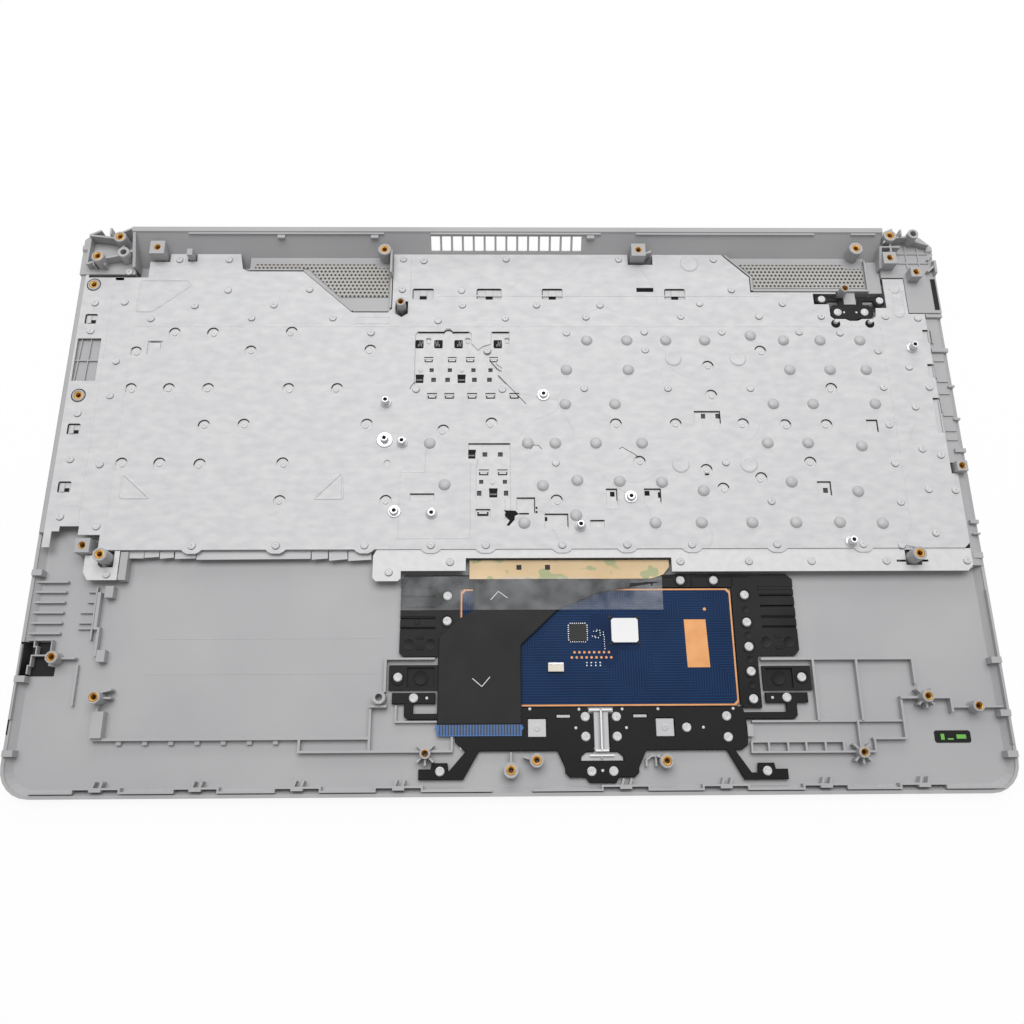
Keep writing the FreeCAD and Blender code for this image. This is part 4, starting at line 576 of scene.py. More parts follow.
def beads(name, paths, z, material, depth, body="cover"):
    # Rounded ridges along drawn lines, half sunk in the surface.
    line = bpy.data.curves.new(name, "CURVE")
    line.dimensions = "3D"
    line.bevel_depth = depth
    line.bevel_resolution = 2
    line.use_fill_caps = True
    for corners, closed in paths:
        spline = line.splines.new("POLY")
        spline.points.add(len(corners) - 1)
        for point, (x, y) in zip(spline.points, corners):
            point.co = (x, y, 0, 1)
        spline.use_cyclic_u = closed
    holder = bpy.data.objects.new(name + "_line", line)
    bpy.context.scene.collection.objects.link(holder)
    bpy.context.view_layer.update()
    mesh = bpy.data.meshes.new_from_object(holder.evaluated_get(bpy.context.evaluated_depsgraph_get()))
    bpy.data.objects.remove(holder)
    bm = bmesh.new()
    bm.from_mesh(mesh)
    bmesh.ops.scale(bm, verts=bm.verts, vec=(1, 1, 0.45))
    bmesh.ops.translate(bm, verts=bm.verts, vec=(0, 0, z))
    return made(name, bm, material, body, soft=60)


beads("step_beads", [(line, False) for line in STEPS], 6.98, tinned_steel, 0.3)
capsule = [(186.9 + 2.4 * math.cos(math.radians(k)),
            102.0 + 2.4 * math.sin(math.radians(k))) for k in range(0, 181, 20)]
capsule += [(186.9 + 2.4 * math.cos(math.radians(k)),
             89.2 + 2.4 * math.sin(math.radians(k))) for k in range(180, 361, 20)]
beads("pressed_beads", [(eased(line, 1.2), True) for line in EMBOSSES] + [(capsule, True)], 6.97,
      tinned_steel, 0.6)

# Melted stakes hold the sheets. Each is a plastic pin whose top was pressed
# with a hot punch into a flat round head with a small nib in the middle.
stake_grey = finish("stake_plastic", (206, 206, 207), (196, 196, 198), 0.4)
bm = bmesh.new()
for i, (low, high) in enumerate(solids_of("stake_heads")):
    x, y, z = (low.x + high.x) / 2, (low.y + high.y) / 2, low.z
    tall = 0.4 + 0.22 * ((i * 7) % 5) / 4
    dimple = 0.05 if i % 3 == 1 else 0.3
    turned(bm, [(1.68, z - 0.02), (1.68, z + tall * 0.6), (1.45, z + tall), (1.15, z + tall - 0.1),
                (0.9, z + tall), (0.42, z + tall), (0.34, z + tall - dimple), (0.0, z + tall - dimple)],
                x, y, 18)
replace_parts(made("melted_heads", bm, stake_grey), "stake_heads")
# A thin grey disc under each head, shifted to the front, is painted shadow: a dark crescent below the
# head.
bm = bmesh.new()
for low, high in solids_of("stake_heads"):
    turned(bm, [(1.8, low.z - 0.02), (1.78, low.z + 0.04), (0.0, low.z + 0.05)],
           (low.x + high.x) / 2 + 0.04, (low.y + high.y) / 2 - 0.16, 18)
made("painted_head_shadows", bm, finish("head_shadow_grey", (104, 104, 106), (88, 88, 90), 0.7))
bm = bmesh.new()
for i, (x, y) in enumerate(ROUND_WINDOWS):
    dx, dy = 0.5 * math.sin(i * 2.3), -0.4 + 0.3 * math.cos(i * 1.7)
    turned(bm, [(1.35, 6.48), (1.35, 6.72), (1.15, 6.86), (0.45, 6.86), (0.3, 6.7), (0.0, 6.7)], x + dx,
           y + dy, 18)
made("lower_heads", bm, stake_grey)
# Black arcs at the rear side of each round window are painted shadow of the sheet's cut edge.
arcs = []
for i, (x, y) in enumerate(ROUND_WINDOWS):
    first = 10 if x > 0 else 30
    swing = 135 + 20 * math.sin(i * 1.3)
    arcs.append(([(x + 2.6 * math.cos(math.radians(first + swing * k / 9)),
                   y + 2.6 * math.sin(math.radians(first + swing * k / 9))) for k in range(10)], False))
arcs.append(([(-29.4 + 2.5 * math.cos(math.radians(20 + 14 * k)),
               77.0 + 2.5 * math.sin(math.radians(20 + 14 * k)))
              for k in range(11)], False))
beads("painted_shadow_arcs", arcs, 6.72, shadow_paint, 0.26)
# The long slanting cut at the right of the hook field, and small curls, drawn as thin black lines of
# painted shade on the sheet.
beads("slant_cuts", [([(-9.2, 62.6), (-6.5, 59.2), (-4.2, 57.6)], False),
                     ([(-6.0, 55.8), (7.0, 41.0)], False),
                     ([(-2.9, 74.6), (-2.3, 75.1), (-1.2, 75.1), (-0.6, 74.5)], False),
                     ([(-21.4, 74.6), (-20.8, 75.1), (-19.7, 75.1), (-19.1, 74.5)], False),
                     ([(-39.9, 74.5), (-39.3, 75.0), (-38.2, 75.0), (-37.6, 74.4)], False),
                     ([(-44.4, 52.4), (-46.2, 50.4), (-46.8, 48.6)], False),
                     ([(8.6, 18.6), (10.2, 20.6), (12.4, 20.4), (13.8, 18.6)], False),
                     ([(49.0, 18.6), (50.4, 19.6), (52.6, 18.0), (55.4, 16.4), (57.6, 14.6)], False)],
      6.99, shadow_paint, 0.16)

# Steel nuts and posts are riveted into the shield for the boards above it:
# a round flange, a turned body and a threaded hole.
post_steel = finish("turned_steel", (222, 222, 223), (204, 205, 207), 0.3, metal=0.55, grain=900.0,
                    clouds=260.0)
# A black disc a little way down each bore is painted shade in the hole.
bores = bmesh.new()
bm = bmesh.new()
for low, high in solids_of("steel_standoffs"):
    x, y, z, top = (low.x + high.x) / 2, (low.y + high.y) / 2, low.z, high.z
    r = (high.x - low.x) / 2
    wide = r + (0.9 if r < 2.4 else 1.3 if abs(x + 57.5) < 1 else 0.55)
    neck = min(r, 1.75)
    turned(bm, [(wide, z), (wide, z + 0.3), (wide - 0.25, z + 0.5), (neck + 0.2, z + 0.55),
                (neck, z + 0.7), (neck, top - 0.3), (neck - 0.2, top), (1.0, top), (0.85, top - 0.2),
                (0.85, top - 1.8), (0.0, top - 1.9)], x, y)
    turned(bores, [(0.84, top - 0.5), (0.84, top - 0.45), (0.0, top - 0.45)], x, y, 16)
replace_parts(made("riveted_posts", bm, post_steel), "steel_standoffs")
made("post_bores", bores, shadow_paint)

# The bright strip along the palm area and its small left neighbour are cut
# from the same tinned sheet, and lie a little lower than the shield.
strip_steel = finish("strip_steel", (210, 210, 211), (202, 202, 203), 0.52, metal=0.06, grain=1100.0,
                     clouds=320.0, rough_swing=0.03)
dress("front_strip", strip_steel)
dress("corner_plate", strip_steel)

# The touchpad's board: blue solder mask over fibreglass, with a bare copper
# band round its edge, one bare copper field, and fine tracks under the mask.
board_blue = finish("solder_mask", (8, 38, 76), (6, 32, 66), 0.5, grain=900.0, clouds=60.0, shine=0.12)


def track_group():
    # Thin parallel lines in broken runs, as tracks show through a solder mask.
    group, entry, result = new_group(
        "board_tracks", [("Vector", "NodeSocketVector", None), ("Pitch", "NodeSocketFloat", 0.0011)],
        [("Tracks", "NodeSocketFloat")])
    split = group.nodes.new("ShaderNodeSeparateXYZ")
    group.links.new(entry.outputs["Vector"], split.inputs[0])
    cell = group.nodes.new("ShaderNodeTexVoronoi")
    cell.distance = "CHEBYCHEV"
    cell.inputs["Scale"].default_value = 55.0
    group.links.new(entry.outputs["Vector"], cell.inputs["Vector"])
    pick = group.nodes.new("ShaderNodeSeparateColor")
    group.links.new(cell.outputs["Color"], pick.inputs[0])
    turn = group.nodes.new("ShaderNodeMath")
    turn.operation = "GREATER_THAN"
    turn.inputs[1].default_value = 0.72
    group.links.new(pick.outputs["Red"], turn.inputs[0])
    side = group.nodes.new("ShaderNodeMix")
    group.links.new(turn.outputs[0], side.inputs["Factor"])
    group.links.new(split.outputs["Y"], side.inputs["A"])
    group.links.new(split.outputs["X"], side.inputs["B"])
    over = group.nodes.new("ShaderNodeMath")
    over.operation = "DIVIDE"
    group.links.new(side.outputs["Result"], over.inputs[0])
    group.links.new(entry.outputs["Pitch"], over.inputs[1])
    saw = group.nodes.new("ShaderNodeMath")
    saw.operation = "FRACT"
    group.links.new(over.outputs[0], saw.inputs[0])
    line = group.nodes.new("ShaderNodeMath")
    line.operation = "LESS_THAN"
    line.inputs[1].default_value = 0.3
    group.links.new(saw.outputs[0], line.inputs[0])
    keep = group.nodes.new("ShaderNodeMath")
    keep.operation = "GREATER_THAN"
    keep.inputs[1].default_value = 0.25
    group.links.new(pick.outputs["Green"], keep.inputs[0])
    both = group.nodes.new("ShaderNodeMath")
    both.operation = "MULTIPLY"
    group.links.new(line.outputs[0], both.inputs[0])
    group.links.new(keep.outputs[0], both.inputs[1])
    group.links.new(both.outputs[0], result.inputs["Tracks"])
    return group


lay_over(board_blue, track_group(), {"Pitch": 0.0011}, "Tracks", (30, 70, 112), 0.5)
dress("touchpad_board", board_blue)
copper = finish("bare_copper", (220, 156, 92), (210, 142, 80), 0.45, metal=0.1, grain=1200.0,
                clouds=150.0)
BOARD = (-22.5, 95.2, -95.7, -45.2)
x0, x1, y0, y1 = BOARD
cut_sheet("copper_border", cut_corners(x0 + 0.15, x1 - 0.15, y0 + 0.15, y1 - 0.15, 1.4),
          [cut_corners(x0 + 0.85, x1 - 0.85, y0 + 0.85, y1 - 0.85, 1.5)], [], 2.6, 2.66, copper,
          edge=0.01)
cut_sheet("copper_field", [(74.4, -79.6), (84.0, -79.6), (83.4, -59.0), (74.0, -59.0)], [], [], 2.6, 2.66,
          copper, edge=0.01)
bm = bmesh.new()
for i in range(8):
    turned(bm, [(0.55, 2.58), (0.55, 2.68), (0.0, 2.68)], 26.4 + i * 2.1, -73.0, 12)
for i in range(9):
    turned(bm, [(0.55, 2.58), (0.55, 2.68), (0.0, 2.68)], 25.2 + i * 2.1, -75.2, 12)
turned(bm, [(0.7, 2.58), (0.7, 2.68), (0.0, 2.68)], 83.3, -54.5, 14)
made("test_points", bm, copper)

# Parts soldered to the board: the controller with its pins, a small socket,
# ceramic capacitors, and a white foam pad stuck on with tape.
chip_black = finish("chip_resin", (42, 40, 40), (34, 33, 33), 0.5, shine=0.25)
dress("controller_chip", chip_black)
socket_cream = finish("socket_plastic", (222, 216, 200), (205, 198, 182), 0.45)
dress("board_connector", socket_cream)
foam_white = finish("foam_skin", (238, 238, 238), (228, 228, 229), 0.7, grain=1800.0)
dress("foam_pad", foam_white)
solder = finish("solder", (200, 202, 205), (170, 172, 176), 0.3, metal=0.9, grain=800.0, clouds=400.0)
bm = bmesh.new()
for i in range(8):
    at = -3.2 + i * 0.91
    block(bm, 28.05 + at - 0.2, 28.05 + at + 0.2, -68.75, -68.1, 2.6, 2.8)
    block(bm, 28.05 + at - 0.2, 28.05 + at + 0.2, -60.9, -60.25, 2.6, 2.8)
    block(bm, 23.75, 24.4, -64.5 + at - 0.2, -64.5 + at + 0.2, 2.6, 2.8)
    block(bm, 31.7, 32.35, -64.5 + at - 0.2, -64.5 + at + 0.2, 2.6, 2.8)
for i in range(4):
    for y in (-77.4, -78.6):
        block(bm, 31.2 + i * 1.9, 31.8 + i * 1.9, y - 0.25, y + 0.25, 2.6, 2.75)
block(bm, 15.2, 21.4, -78.3, -77.5, 2.6, 4.0)
for x, y, a in ((35.4, -64.0, 0), (36.9, -63.6, 0), (34.8, -66.2, 0), (37.6, -65.2, 90),
                (39.0, -65.0, 90), (39.3, -67.0, 90), (39.3, -69.0, 90), (39.4, -71.0, 90),
                (36.2, -66.8, 0)):
    for s in (-0.55, 0.55):
        dx, dy = (s, 0) if a == 0 else (0, s)
        block(bm, x + dx - 0.2, x + dx + 0.2, y + dy - 0.22, y + dy + 0.22, 2.6, 2.95)
soften(bm, 0.05)
made("soldered_pins", bm, solder)
bm = bmesh.new()
turned(bm, [(0.5, 2.6 + 0.88), (0.5, 3.52), (0.0, 3.52)], 25.3, -61.8, 14)
for x, y in ((41.9, -57.9), (54.0, -58.3), (42.1, -69.4), (54.2, -69.2)):
    turned(bm, [(0.75, 2.6), (0.75, 2.85), (0.45, 2.95), (0.0, 2.95)], x, y, 12)
made("chip_marks", bm, chip_black)

# The black frame round the board is a stiff moulding with shallow grooves
# in both wings, fixed by a row of white stakes that come up from the cover.
gloss_black = finish("black_moulding", (18, 18, 19), (11, 11, 12), 0.4, grain=1700.0, clouds=40.0,
                     shine=0.18)
dress("touchpad_bracket", gloss_black)
rubber = finish("damper_rubber", (30, 30, 31), (24, 24, 25), 0.6, shine=0.25)
dress("side_dampers", rubber)
bm = bmesh.new()
block(bm, 107.0, 122.0, -46.3, -44.7, 3.38, 3.46)
block(bm, -48.0, -32.6, -46.3, -44.7, 3.38, 3.46)
for y in (-48.1, -53.0, -57.5, -62.0):
    block(bm, 107.4, 121.8, y - 0.15, y + 0.15, 3.38, 3.6)
    block(bm, -47.8, -33.0, y - 0.15, y + 0.15, 3.38, 3.6)
for x0, x1, y0, y1 in ((112.6, 115.6, -67.2, -66.0), (112.6, 115.6, -72.2, -71.0),
                       (-41.0, -38.0, -67.2, -66.0), (-41.0, -38.0, -71.8, -70.6),
                       (-42.0, -39.8, -60.8, -58.8), (60.5, 61.2, -44.4, -40.0),
                       (78.0, 78.7, -44.4, -40.0), (95.8, 96.5, -44.4, -40.0), (44.0, 70.0, -40.5, -40.0),
                       (80.0, 103.0, -40.5, -40.0)):
    block(bm, x0, x1, y0, y1, 3.38, 3.7)
soften(bm, 0.12)
for x, y, r in ((108.6, -69.0, 2.7), (118.4, -69.0, 2.7), (-44.2, -69.4, 2.7), (-35.0, -69.4, 2.7),
                (101.0, -55.0, 1.9), (101.0, -66.0, 1.9), (101.0, -76.4, 1.9), (101.0, -87.0, 1.9)):
    turned(bm, [(r, 3.38), (r, 3.46), (r - 0.25, 3.5), (r - 0.5, 3.44), (0.0, 3.44)], x, y)
for x, y in ((101, -48.5), (101, -60.5), (101, -71), (101, -81.5), (101, -93), (-28, -48.5), (-28, -59.5),
             (73.5, -41.9), (88, -41.9)):
    turned(bm, [(2.9, 3.38), (2.9, 3.6), (2.6, 3.68), (2.35, 3.6), (2.3, 3.38)], x, y)
made("frame_ridges", bm, gloss_black)
bm = bmesh.new()
for x0, x1 in ((119.0, 125.6), (-51.6, -45.2)):
    turned(bm, [(2.9, 3.18), (2.9, 3.45), (2.6, 3.55), (2.3, 3.4), (2.3, 3.18)], (x0 + x1) / 2, -83.9)
turned(bm, [(3.2, 2.2), (3.2, 2.5), (2.9, 2.6), (2.6, 2.45), (0.0, 2.4)], 112.7, -84.2, 28)
turned(bm, [(3.2, 2.2), (3.2, 2.5), (2.9, 2.6), (2.6, 2.45), (0.0, 2.4)], -38.8, -83.4, 28)
made("damper_rings", bm, rubber)

# White stakes: pins of the cover, melted over the black parts into domes with
# a rough crown, a ring groove and a nib.
stake_white = finish("melted_white", (212, 212, 212), (188, 188, 189), 0.38, grain=700.0, clouds=900.0,
                     depth=0.00025)
WHITE = [(101, -48.5, 3.4), (101, -60.5, 3.4), (101, -71, 3.4), (101, -81.5, 3.4), (101, -93, 3.4),
         (-28, -48.5, 3.4), (-28, -59.5, 3.4), (73.5, -41.9, 3.4), (88, -41.9, 3.4), (122.3, -84, 3.2),
         (-48.4, -83.3, 3.2)]
PRESSED = [(115, -92.5), (-41.5, -92), (-30, -121.5), (104, -122), (30, -100), (30, -108), (43, -100),
           (43, -108), (89, -100), (89, -108.5), (72, -104.5), (32, -121.8), (41, -121.8)]
bm = bmesh.new()
for x, y, z in WHITE + [(x, y, 3.6) for x, y in PRESSED]:
    turned(bm, [(1.86, z - 0.05), (1.92, z + 0.2), (1.75, z + 0.5), (1.4, z + 0.66), (1.05, z + 0.56),
                (0.42, z + 0.62), (0.36, z + 0.4), (0.0, z + 0.4)], x, y, 24)
for x, y in ((26, -104.5), (47, -104.5), (79, -104.5), (7, -96.7), (27.5, -96.9), (45.5, -96.9),
             (60.5, -96.9), (92, -96.9), (36.5, -121.5), (109, -92.5), (-36, -92)):
    turned(bm, [(0.6, 3.5), (0.6, 3.68), (0.45, 3.75), (0.0, 3.75)], x, y, 12)
made("white_stakes", bm, stake_white)

# The click buttons' spring frame: one springy black moulding, cut into a left half and a right half, so
# it is two pieces.
LOW, TOP, SPLIT = 2.4, 3.6, 36.5
plate = [(-24.0, -96.0), (31.2, -96.0), (31.2, -98.8), (33.2, -98.8), (33.2, -114.2), (30.0, -114.2),
         (27.6, -116.2), (27.6, -117.8), (45.4, -117.8), (45.4, -116.2), (43.0, -114.2), (39.8, -114.2),
         (39.8, -98.8), (41.8, -98.8), (41.8, -96.0), (96.0, -96.0), (96.6, -98.4), (114.4, -98.4),
         (114.4, -94.6), (106.0, -94.6), (106.0, -90.4), (124.0, -90.4), (124.0, -94.6), (119.0, -94.6),
         (119.0, -99.8), (117.6, -101.2), (97.2, -101.2), (97.2, -111.5), (94.5, -113.6), (91.5, -113.6),
         (97.6, -122.6), (100.0, -122.6), (100.4, -118.8), (107.2, -118.8), (107.6, -121.2),
         (112.6, -121.2), (112.6, -125.4), (94.5, -125.4), (88.0, -113.6), (54.8, -113.6), (51.5, -120.5),
         (51.5, -122.4), (49.5, -124.2), (43.0, -124.2), (42.0, -126.3), (31.0, -126.3), (29.5, -124.2),
         (23.0, -124.2), (21.2, -122.4), (21.2, -120.5), (18.2, -113.6), (-14.0, -113.6), (-20.5, -124.8),
         (-38.8, -124.8), (-38.8, -120.6), (-33.8, -120.6), (-33.4, -118.2), (-27.0, -118.2),
         (-26.5, -121.6), (-19.5, -113.6), (-20.0, -113.6), (-24.0, -110.0), (-24.0, -100.8),
         (-44.0, -100.8), (-45.4, -99.4), (-45.4, -94.4), (-50.6, -94.4), (-50.6, -89.8), (-32.4, -89.8),
         (-32.4, -94.4), (-41.6, -94.4), (-41.6, -98.4), (-24.0, -98.4)]
plate_windows = [rect(6.0, 13.8, -108.2, -100.6), rect(59.2, 67.0, -108.2, -100.6),
                 rect(18.0, 23.8, -100.4, -99.0), rect(50.0, 55.8, -100.4, -99.0)]
for name, joint, keep_right in (("left_spring_frame", "left_click_press", False),
                                ("right_spring_frame", "right_click_press", True)):
    bm = cut_sheet(name, plate, plate_windows, [], LOW, TOP, None, edge=0.25)
    bmesh.ops.remove_doubles(bm, verts=bm.verts, dist=0.0005)
    cut = bmesh.ops.bisect_plane(bm, geom=bm.verts[:] + bm.edges[:] + bm.faces[:], plane_co=(SPLIT, 0, 0),
                                 plane_no=(1, 0, 0), clear_inner=keep_right, clear_outer=not keep_right)
    bmesh.ops.holes_fill(bm, edges=[e for e in bm.edges if e.is_boundary])
    half = made(name, bm, gloss_black)
    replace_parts(half, "button_bracket")
    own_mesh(half)

# In the frame's cut-outs stand parts of the cover: the T-shaped post, whose top edges carry near-white
# painted highlight, square seats with a nib, and two low pads.
bm = bmesh.new()
block(bm, 33.6, 39.6, -114.0, -97.4, 1.6, 3.15)
block(bm, 28.0, 45.2, -117.6, -114.0, 1.6, 2.3)
for x0, x1, y0, y1 in ((6.2, 13.6, -108.0, -100.8), (59.4, 66.8, -108.0, -100.8),
                       (18.1, 23.7, -100.3, -99.1), (50.1, 55.7, -100.3, -99.1)):
    block(bm, x0, x1, y0, y1, 1.6, 3.2)
soften(bm, 0.12)
for x in (9.9, 63.1):
    turned(bm, [(1.5, 3.18), (1.4, 3.4), (0.6, 3.5), (0.4, 3.3), (0.0, 3.3)], x, -104.4, 16)
made("frame_seats", bm, clip_grey)
bm = bmesh.new()
block(bm, 36.15, 36.85, -113.4, -97.4, 3.1, 4.64)
block(bm, 31.6, 41.4, -97.6, -96.8, 3.1, 4.3)
block(bm, 33.8, 39.4, -114.0, -113.2, 3.1, 4.3)
block(bm, 31.4, 41.6, -115.9, -115.2, 2.2, 3.5)
soften(bm, 0.1)
made("post_edges", bm, finish("highlight_white", (246, 246, 246), (232, 232, 232), 0.5))

# Three buttons show on the outer face: two long click bars and the round power
# key. They are moulded in a darker grey plastic with a fine matt grain.
button_grey = finish("button_plastic", (120, 120, 123), (112, 112, 115), 0.5)
for name in ("left_click_button", "right_click_button", "power_button"):
    dress(name, button_grey)
pad_grey = finish("pad_face", (150, 150, 153), (146, 146, 149), 0.35)
dress("touchpad_surface", pad_grey)

# The power key's spring frame: a black moulding with two ears and a waist, held by two white stakes.
ears = [(147.2, 95.6), (149.0, 94.2), (152.0, 94.2), (153.8, 95.4), (158.4, 95.4), (158.4, 93.6),
        (155.8, 93.6), (154.2, 91.6), (154.2, 87.8), (155.8, 86.2), (161.0, 86.2), (163.0, 85.2),
        (166.0, 85.2), (168.0, 86.2), (173.0, 86.2), (174.8, 87.8), (174.8, 90.6), (173.0, 93.6),
        (170.2, 93.6), (170.2, 95.4), (175.2, 95.4), (176.2, 93.0), (178.6, 92.2), (180.8, 94.0),
        (180.8, 98.0), (179.0, 99.0), (176.0, 97.8), (168.0, 97.8), (167.4, 93.6), (161.0, 93.6),
        (160.4, 97.4), (153.8, 97.4), (152.0, 99.0), (149.0, 99.0), (147.2, 97.6)]
power_frame = cut_sheet("power_spring_frame", ears, [], [(157.6, 89.6, 1.9), (170.6, 89.6, 1.9)], 5.4,
                        6.4, gloss_black, edge=0.2)
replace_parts(power_frame, "power_bracket")
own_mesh(power_frame)
bm = bmesh.new()
for x, y in ((150.5, 96.6), (178.6, 95.8)):
    turned(bm, [(1.8, 6.38), (1.85, 6.7), (1.6, 7.0), (1.2, 7.1), (0.9, 7.0), (0.4, 7.1), (0.0, 7.2)], x,
           y, 20)
for x, y in ((157.6, 89.6), (170.6, 89.6)):
    turned(bm, [(1.88, 5.5), (1.88, 6.5), (1.7, 6.62), (0.0, 6.66)], x, y, 24)
for x, y in ((160.6, 89.5), (166.6, 89.5)):
    turned(bm, [(0.5, 6.38), (0.5, 6.52), (0.0, 6.55)], x, y, 12)
made("power_stakes", bm, stake_white)
# Two grey pegs, each standing on a flat black disc of painted shade round its foot.
bm = bmesh.new()
dark = bmesh.new()
for x, y in ((155.6, 83.0), (172.0, 83.0)):
    turned(bm, [(1.1, 6.98), (1.1, 8.4), (0.9, 8.9), (0.0, 9.0)], x, y + 0.6, 20)
    turned(dark, [(2.2, 6.98), (2.2, 7.1), (1.9, 7.2), (0.0, 7.2)], x, y, 24)
made("power_pegs", bm, stake_grey)
made("peg_shade_discs", dark, shadow_paint)

# The touchpad's flat cable: a black film that widens over the board and ends
# in a blue stiffener with bare contacts. It lies in slight waves.
film_black = finish("cable_film", (36, 36, 36), (31, 31, 31), 0.6, grain=900.0, clouds=50.0,
                    depth=0.00006, shine=0.25)


def between(knots, y):
    # The x of an edge at one y, from corner to corner.
    for (y0, a), (y1, b) in zip(knots, knots[1:]):
        if y <= y1:
            return a + (b - a) * (y - y0) / (y1 - y0)
    return knots[-1][1]


left_edge = [(-103.0, -31.6), (-66.6, -31.6), (-58.6, -23.0), (-55.0, -17.0), (-42.6, -17.0)]
right_edge = [(-103.0, 3.6), (-70.0, 3.6), (-54.4, 20.0), (-47.0, 38.0), (-42.6, 64.5)]
bm = bmesh.new()
bmesh.ops.create_grid(bm, x_segments=48, y_segments=84, size=1.0)
for v in bm.verts:
    s, t = (v.co.x + 1) / 2, (v.co.y + 1) / 2
    y = -103.0 + t * 60.4
    a, b = between(left_edge, y), between(right_edge, y)
    x = a + (b - a) * s
    wave = noise.noise(Vector((x * 0.05, y * 0.07, 1.7))) * 0.22 + noise.noise(Vector((x * 0.14, y * 0.1,
                                                                                       7.1))) * 0.08
    v.co = (x, y, 3.74 + wave * min(1.0, (1 - t) * 5))
cable = made("flat_cable", bm, film_black, soft=80)
wall = cable.modifiers.new("film", "SOLIDIFY")
wall.thickness = 0.00016
wall.offset = 0
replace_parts(cable, "ribbon_cable")
mark_white = finish("print_white", (222, 224, 228), (205, 207, 212), 0.6)
bm = bmesh.new()
for x0, y0, x1, y1 in ((-9.4, -50.4, -6.0, -46.6), (-6.0, -46.6, -2.0, -49.6),
                       (-17.0, -84.0, -13.0, -87.4), (-13.0, -87.4, -9.6, -83.4)):
    length, turn = math.hypot(x1 - x0, y1 - y0), math.degrees(math.atan2(y1 - y0, x1 - x0))
    mx, my = (x0 + x1) / 2, (y0 + y1) / 2
    block(bm, mx - length / 2, mx + length / 2, my - 0.16, my + 0.16, 3.95, 4.0, turn)
made("cable_marks", bm, mark_white)
stiffener = finish("stiffener_blue", (54, 104, 164), (44, 88, 146), 0.35)
dress("ribbon_contact_end", stiffener)
bm = bmesh.new()
for i in range(28):
    x = -30.4 + i * 1.22
    block(bm, x - 0.3, x + 0.3, -107.2, -102.9, 3.88, 3.95)
made("cable_contacts", bm, finish("contact_dark", (38, 42, 52), (30, 34, 44), 0.3))

# Paper liner over the cable's sticky patch, tan with faded green printing. The
# print is only plain patches here.
liner_tan = finish("liner_paper", (216, 190, 150), (204, 176, 134), 0.55, clouds=60.0)


def patch_group():
    # Loose blotches in cells, for a faded print.
    group, entry, result = new_group("faded_patches", [("Vector", "NodeSocketVector", None),
                                                       ("Scale", "NodeSocketFloat", 120.0)],
                                     [("Patches", "NodeSocketFloat")])
    cloud = group.nodes.new("ShaderNodeTexNoise")
    cloud.inputs["Detail"].default_value = 1.0
    group.links.new(entry.outputs["Vector"], cloud.inputs["Vector"])
    group.links.new(entry.outputs["Scale"], cloud.inputs["Scale"])
    step = group.nodes.new("ShaderNodeMapRange")
    step.inputs["From Min"].default_value = 0.56
    step.inputs["From Max"].default_value = 0.6
    group.links.new(cloud.outputs["Fac"], step.inputs["Value"])
    group.links.new(step.outputs["Result"], result.inputs["Patches"])
    return group


lay_over(liner_tan, patch_group(), {"Scale": 130.0}, "Patches", (120, 156, 112), 0.6)
dress("adhesive_liner", liner_tan)
bm = bmesh.new()
for x in (3.0, 15.5):
    block(bm, x - 1.1, x + 1.1, -37.1, -34.9, 4.2, 4.26)
made("liner_squares", bm, chip_black)

# Clear tape holds the wide end of the cable down. It is a thin glossy film
# with creases, milky where it has lifted.
tape_clear = finish("clear_tape_film", (236, 238, 242), (222, 224, 230), 0.2, grain=160.0, clouds=90.0,
                    depth=0.0004)
tree = tape_clear.node_tree
shader = tree.nodes["Principled BSDF"]
group = next(n for n in tree.nodes if n.type == "GROUP")
haze = tree.nodes.new("ShaderNodeMapRange")
haze.inputs["From Min"].default_value = 0.35
haze.inputs["From Max"].default_value = 0.75
haze.inputs["To Min"].default_value = 0.05
haze.inputs["To Max"].default_value = 0.26
tree.links.new(group.outputs["Clouds"], haze.inputs["Value"])
tree.links.new(haze.outputs["Result"], shader.inputs["Alpha"])
bm = bmesh.new()
bmesh.ops.create_grid(bm, x_segments=90, y_segments=14, size=1.0)
for v in bm.verts:
    x, y = 8.6 + v.co.x * 56.8, -47.4 + v.co.y * 7.4
    drop = 0.45 * max(0.0, (-26 - x) / 22) + 0.7 * max(0.0, (x - 36) / 29) * (1 if y < -43 else 0.5)
    crease = noise.noise(Vector((x * 0.16 + y * 0.05, y * 0.12, 3.0))) * 0.12
    v.co = (x, y, 4.22 - drop + crease)
tape = made("tape_film", bm, tape_clear, soft=80)
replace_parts(tape, "clear_tape")

# Speaker fields: the cover is pierced by rows of small holes, seen here from
# inside over a fine dust mesh.
speaker_face = finish("speaker_face", (172, 171, 169), (164, 160, 152), 0.55)


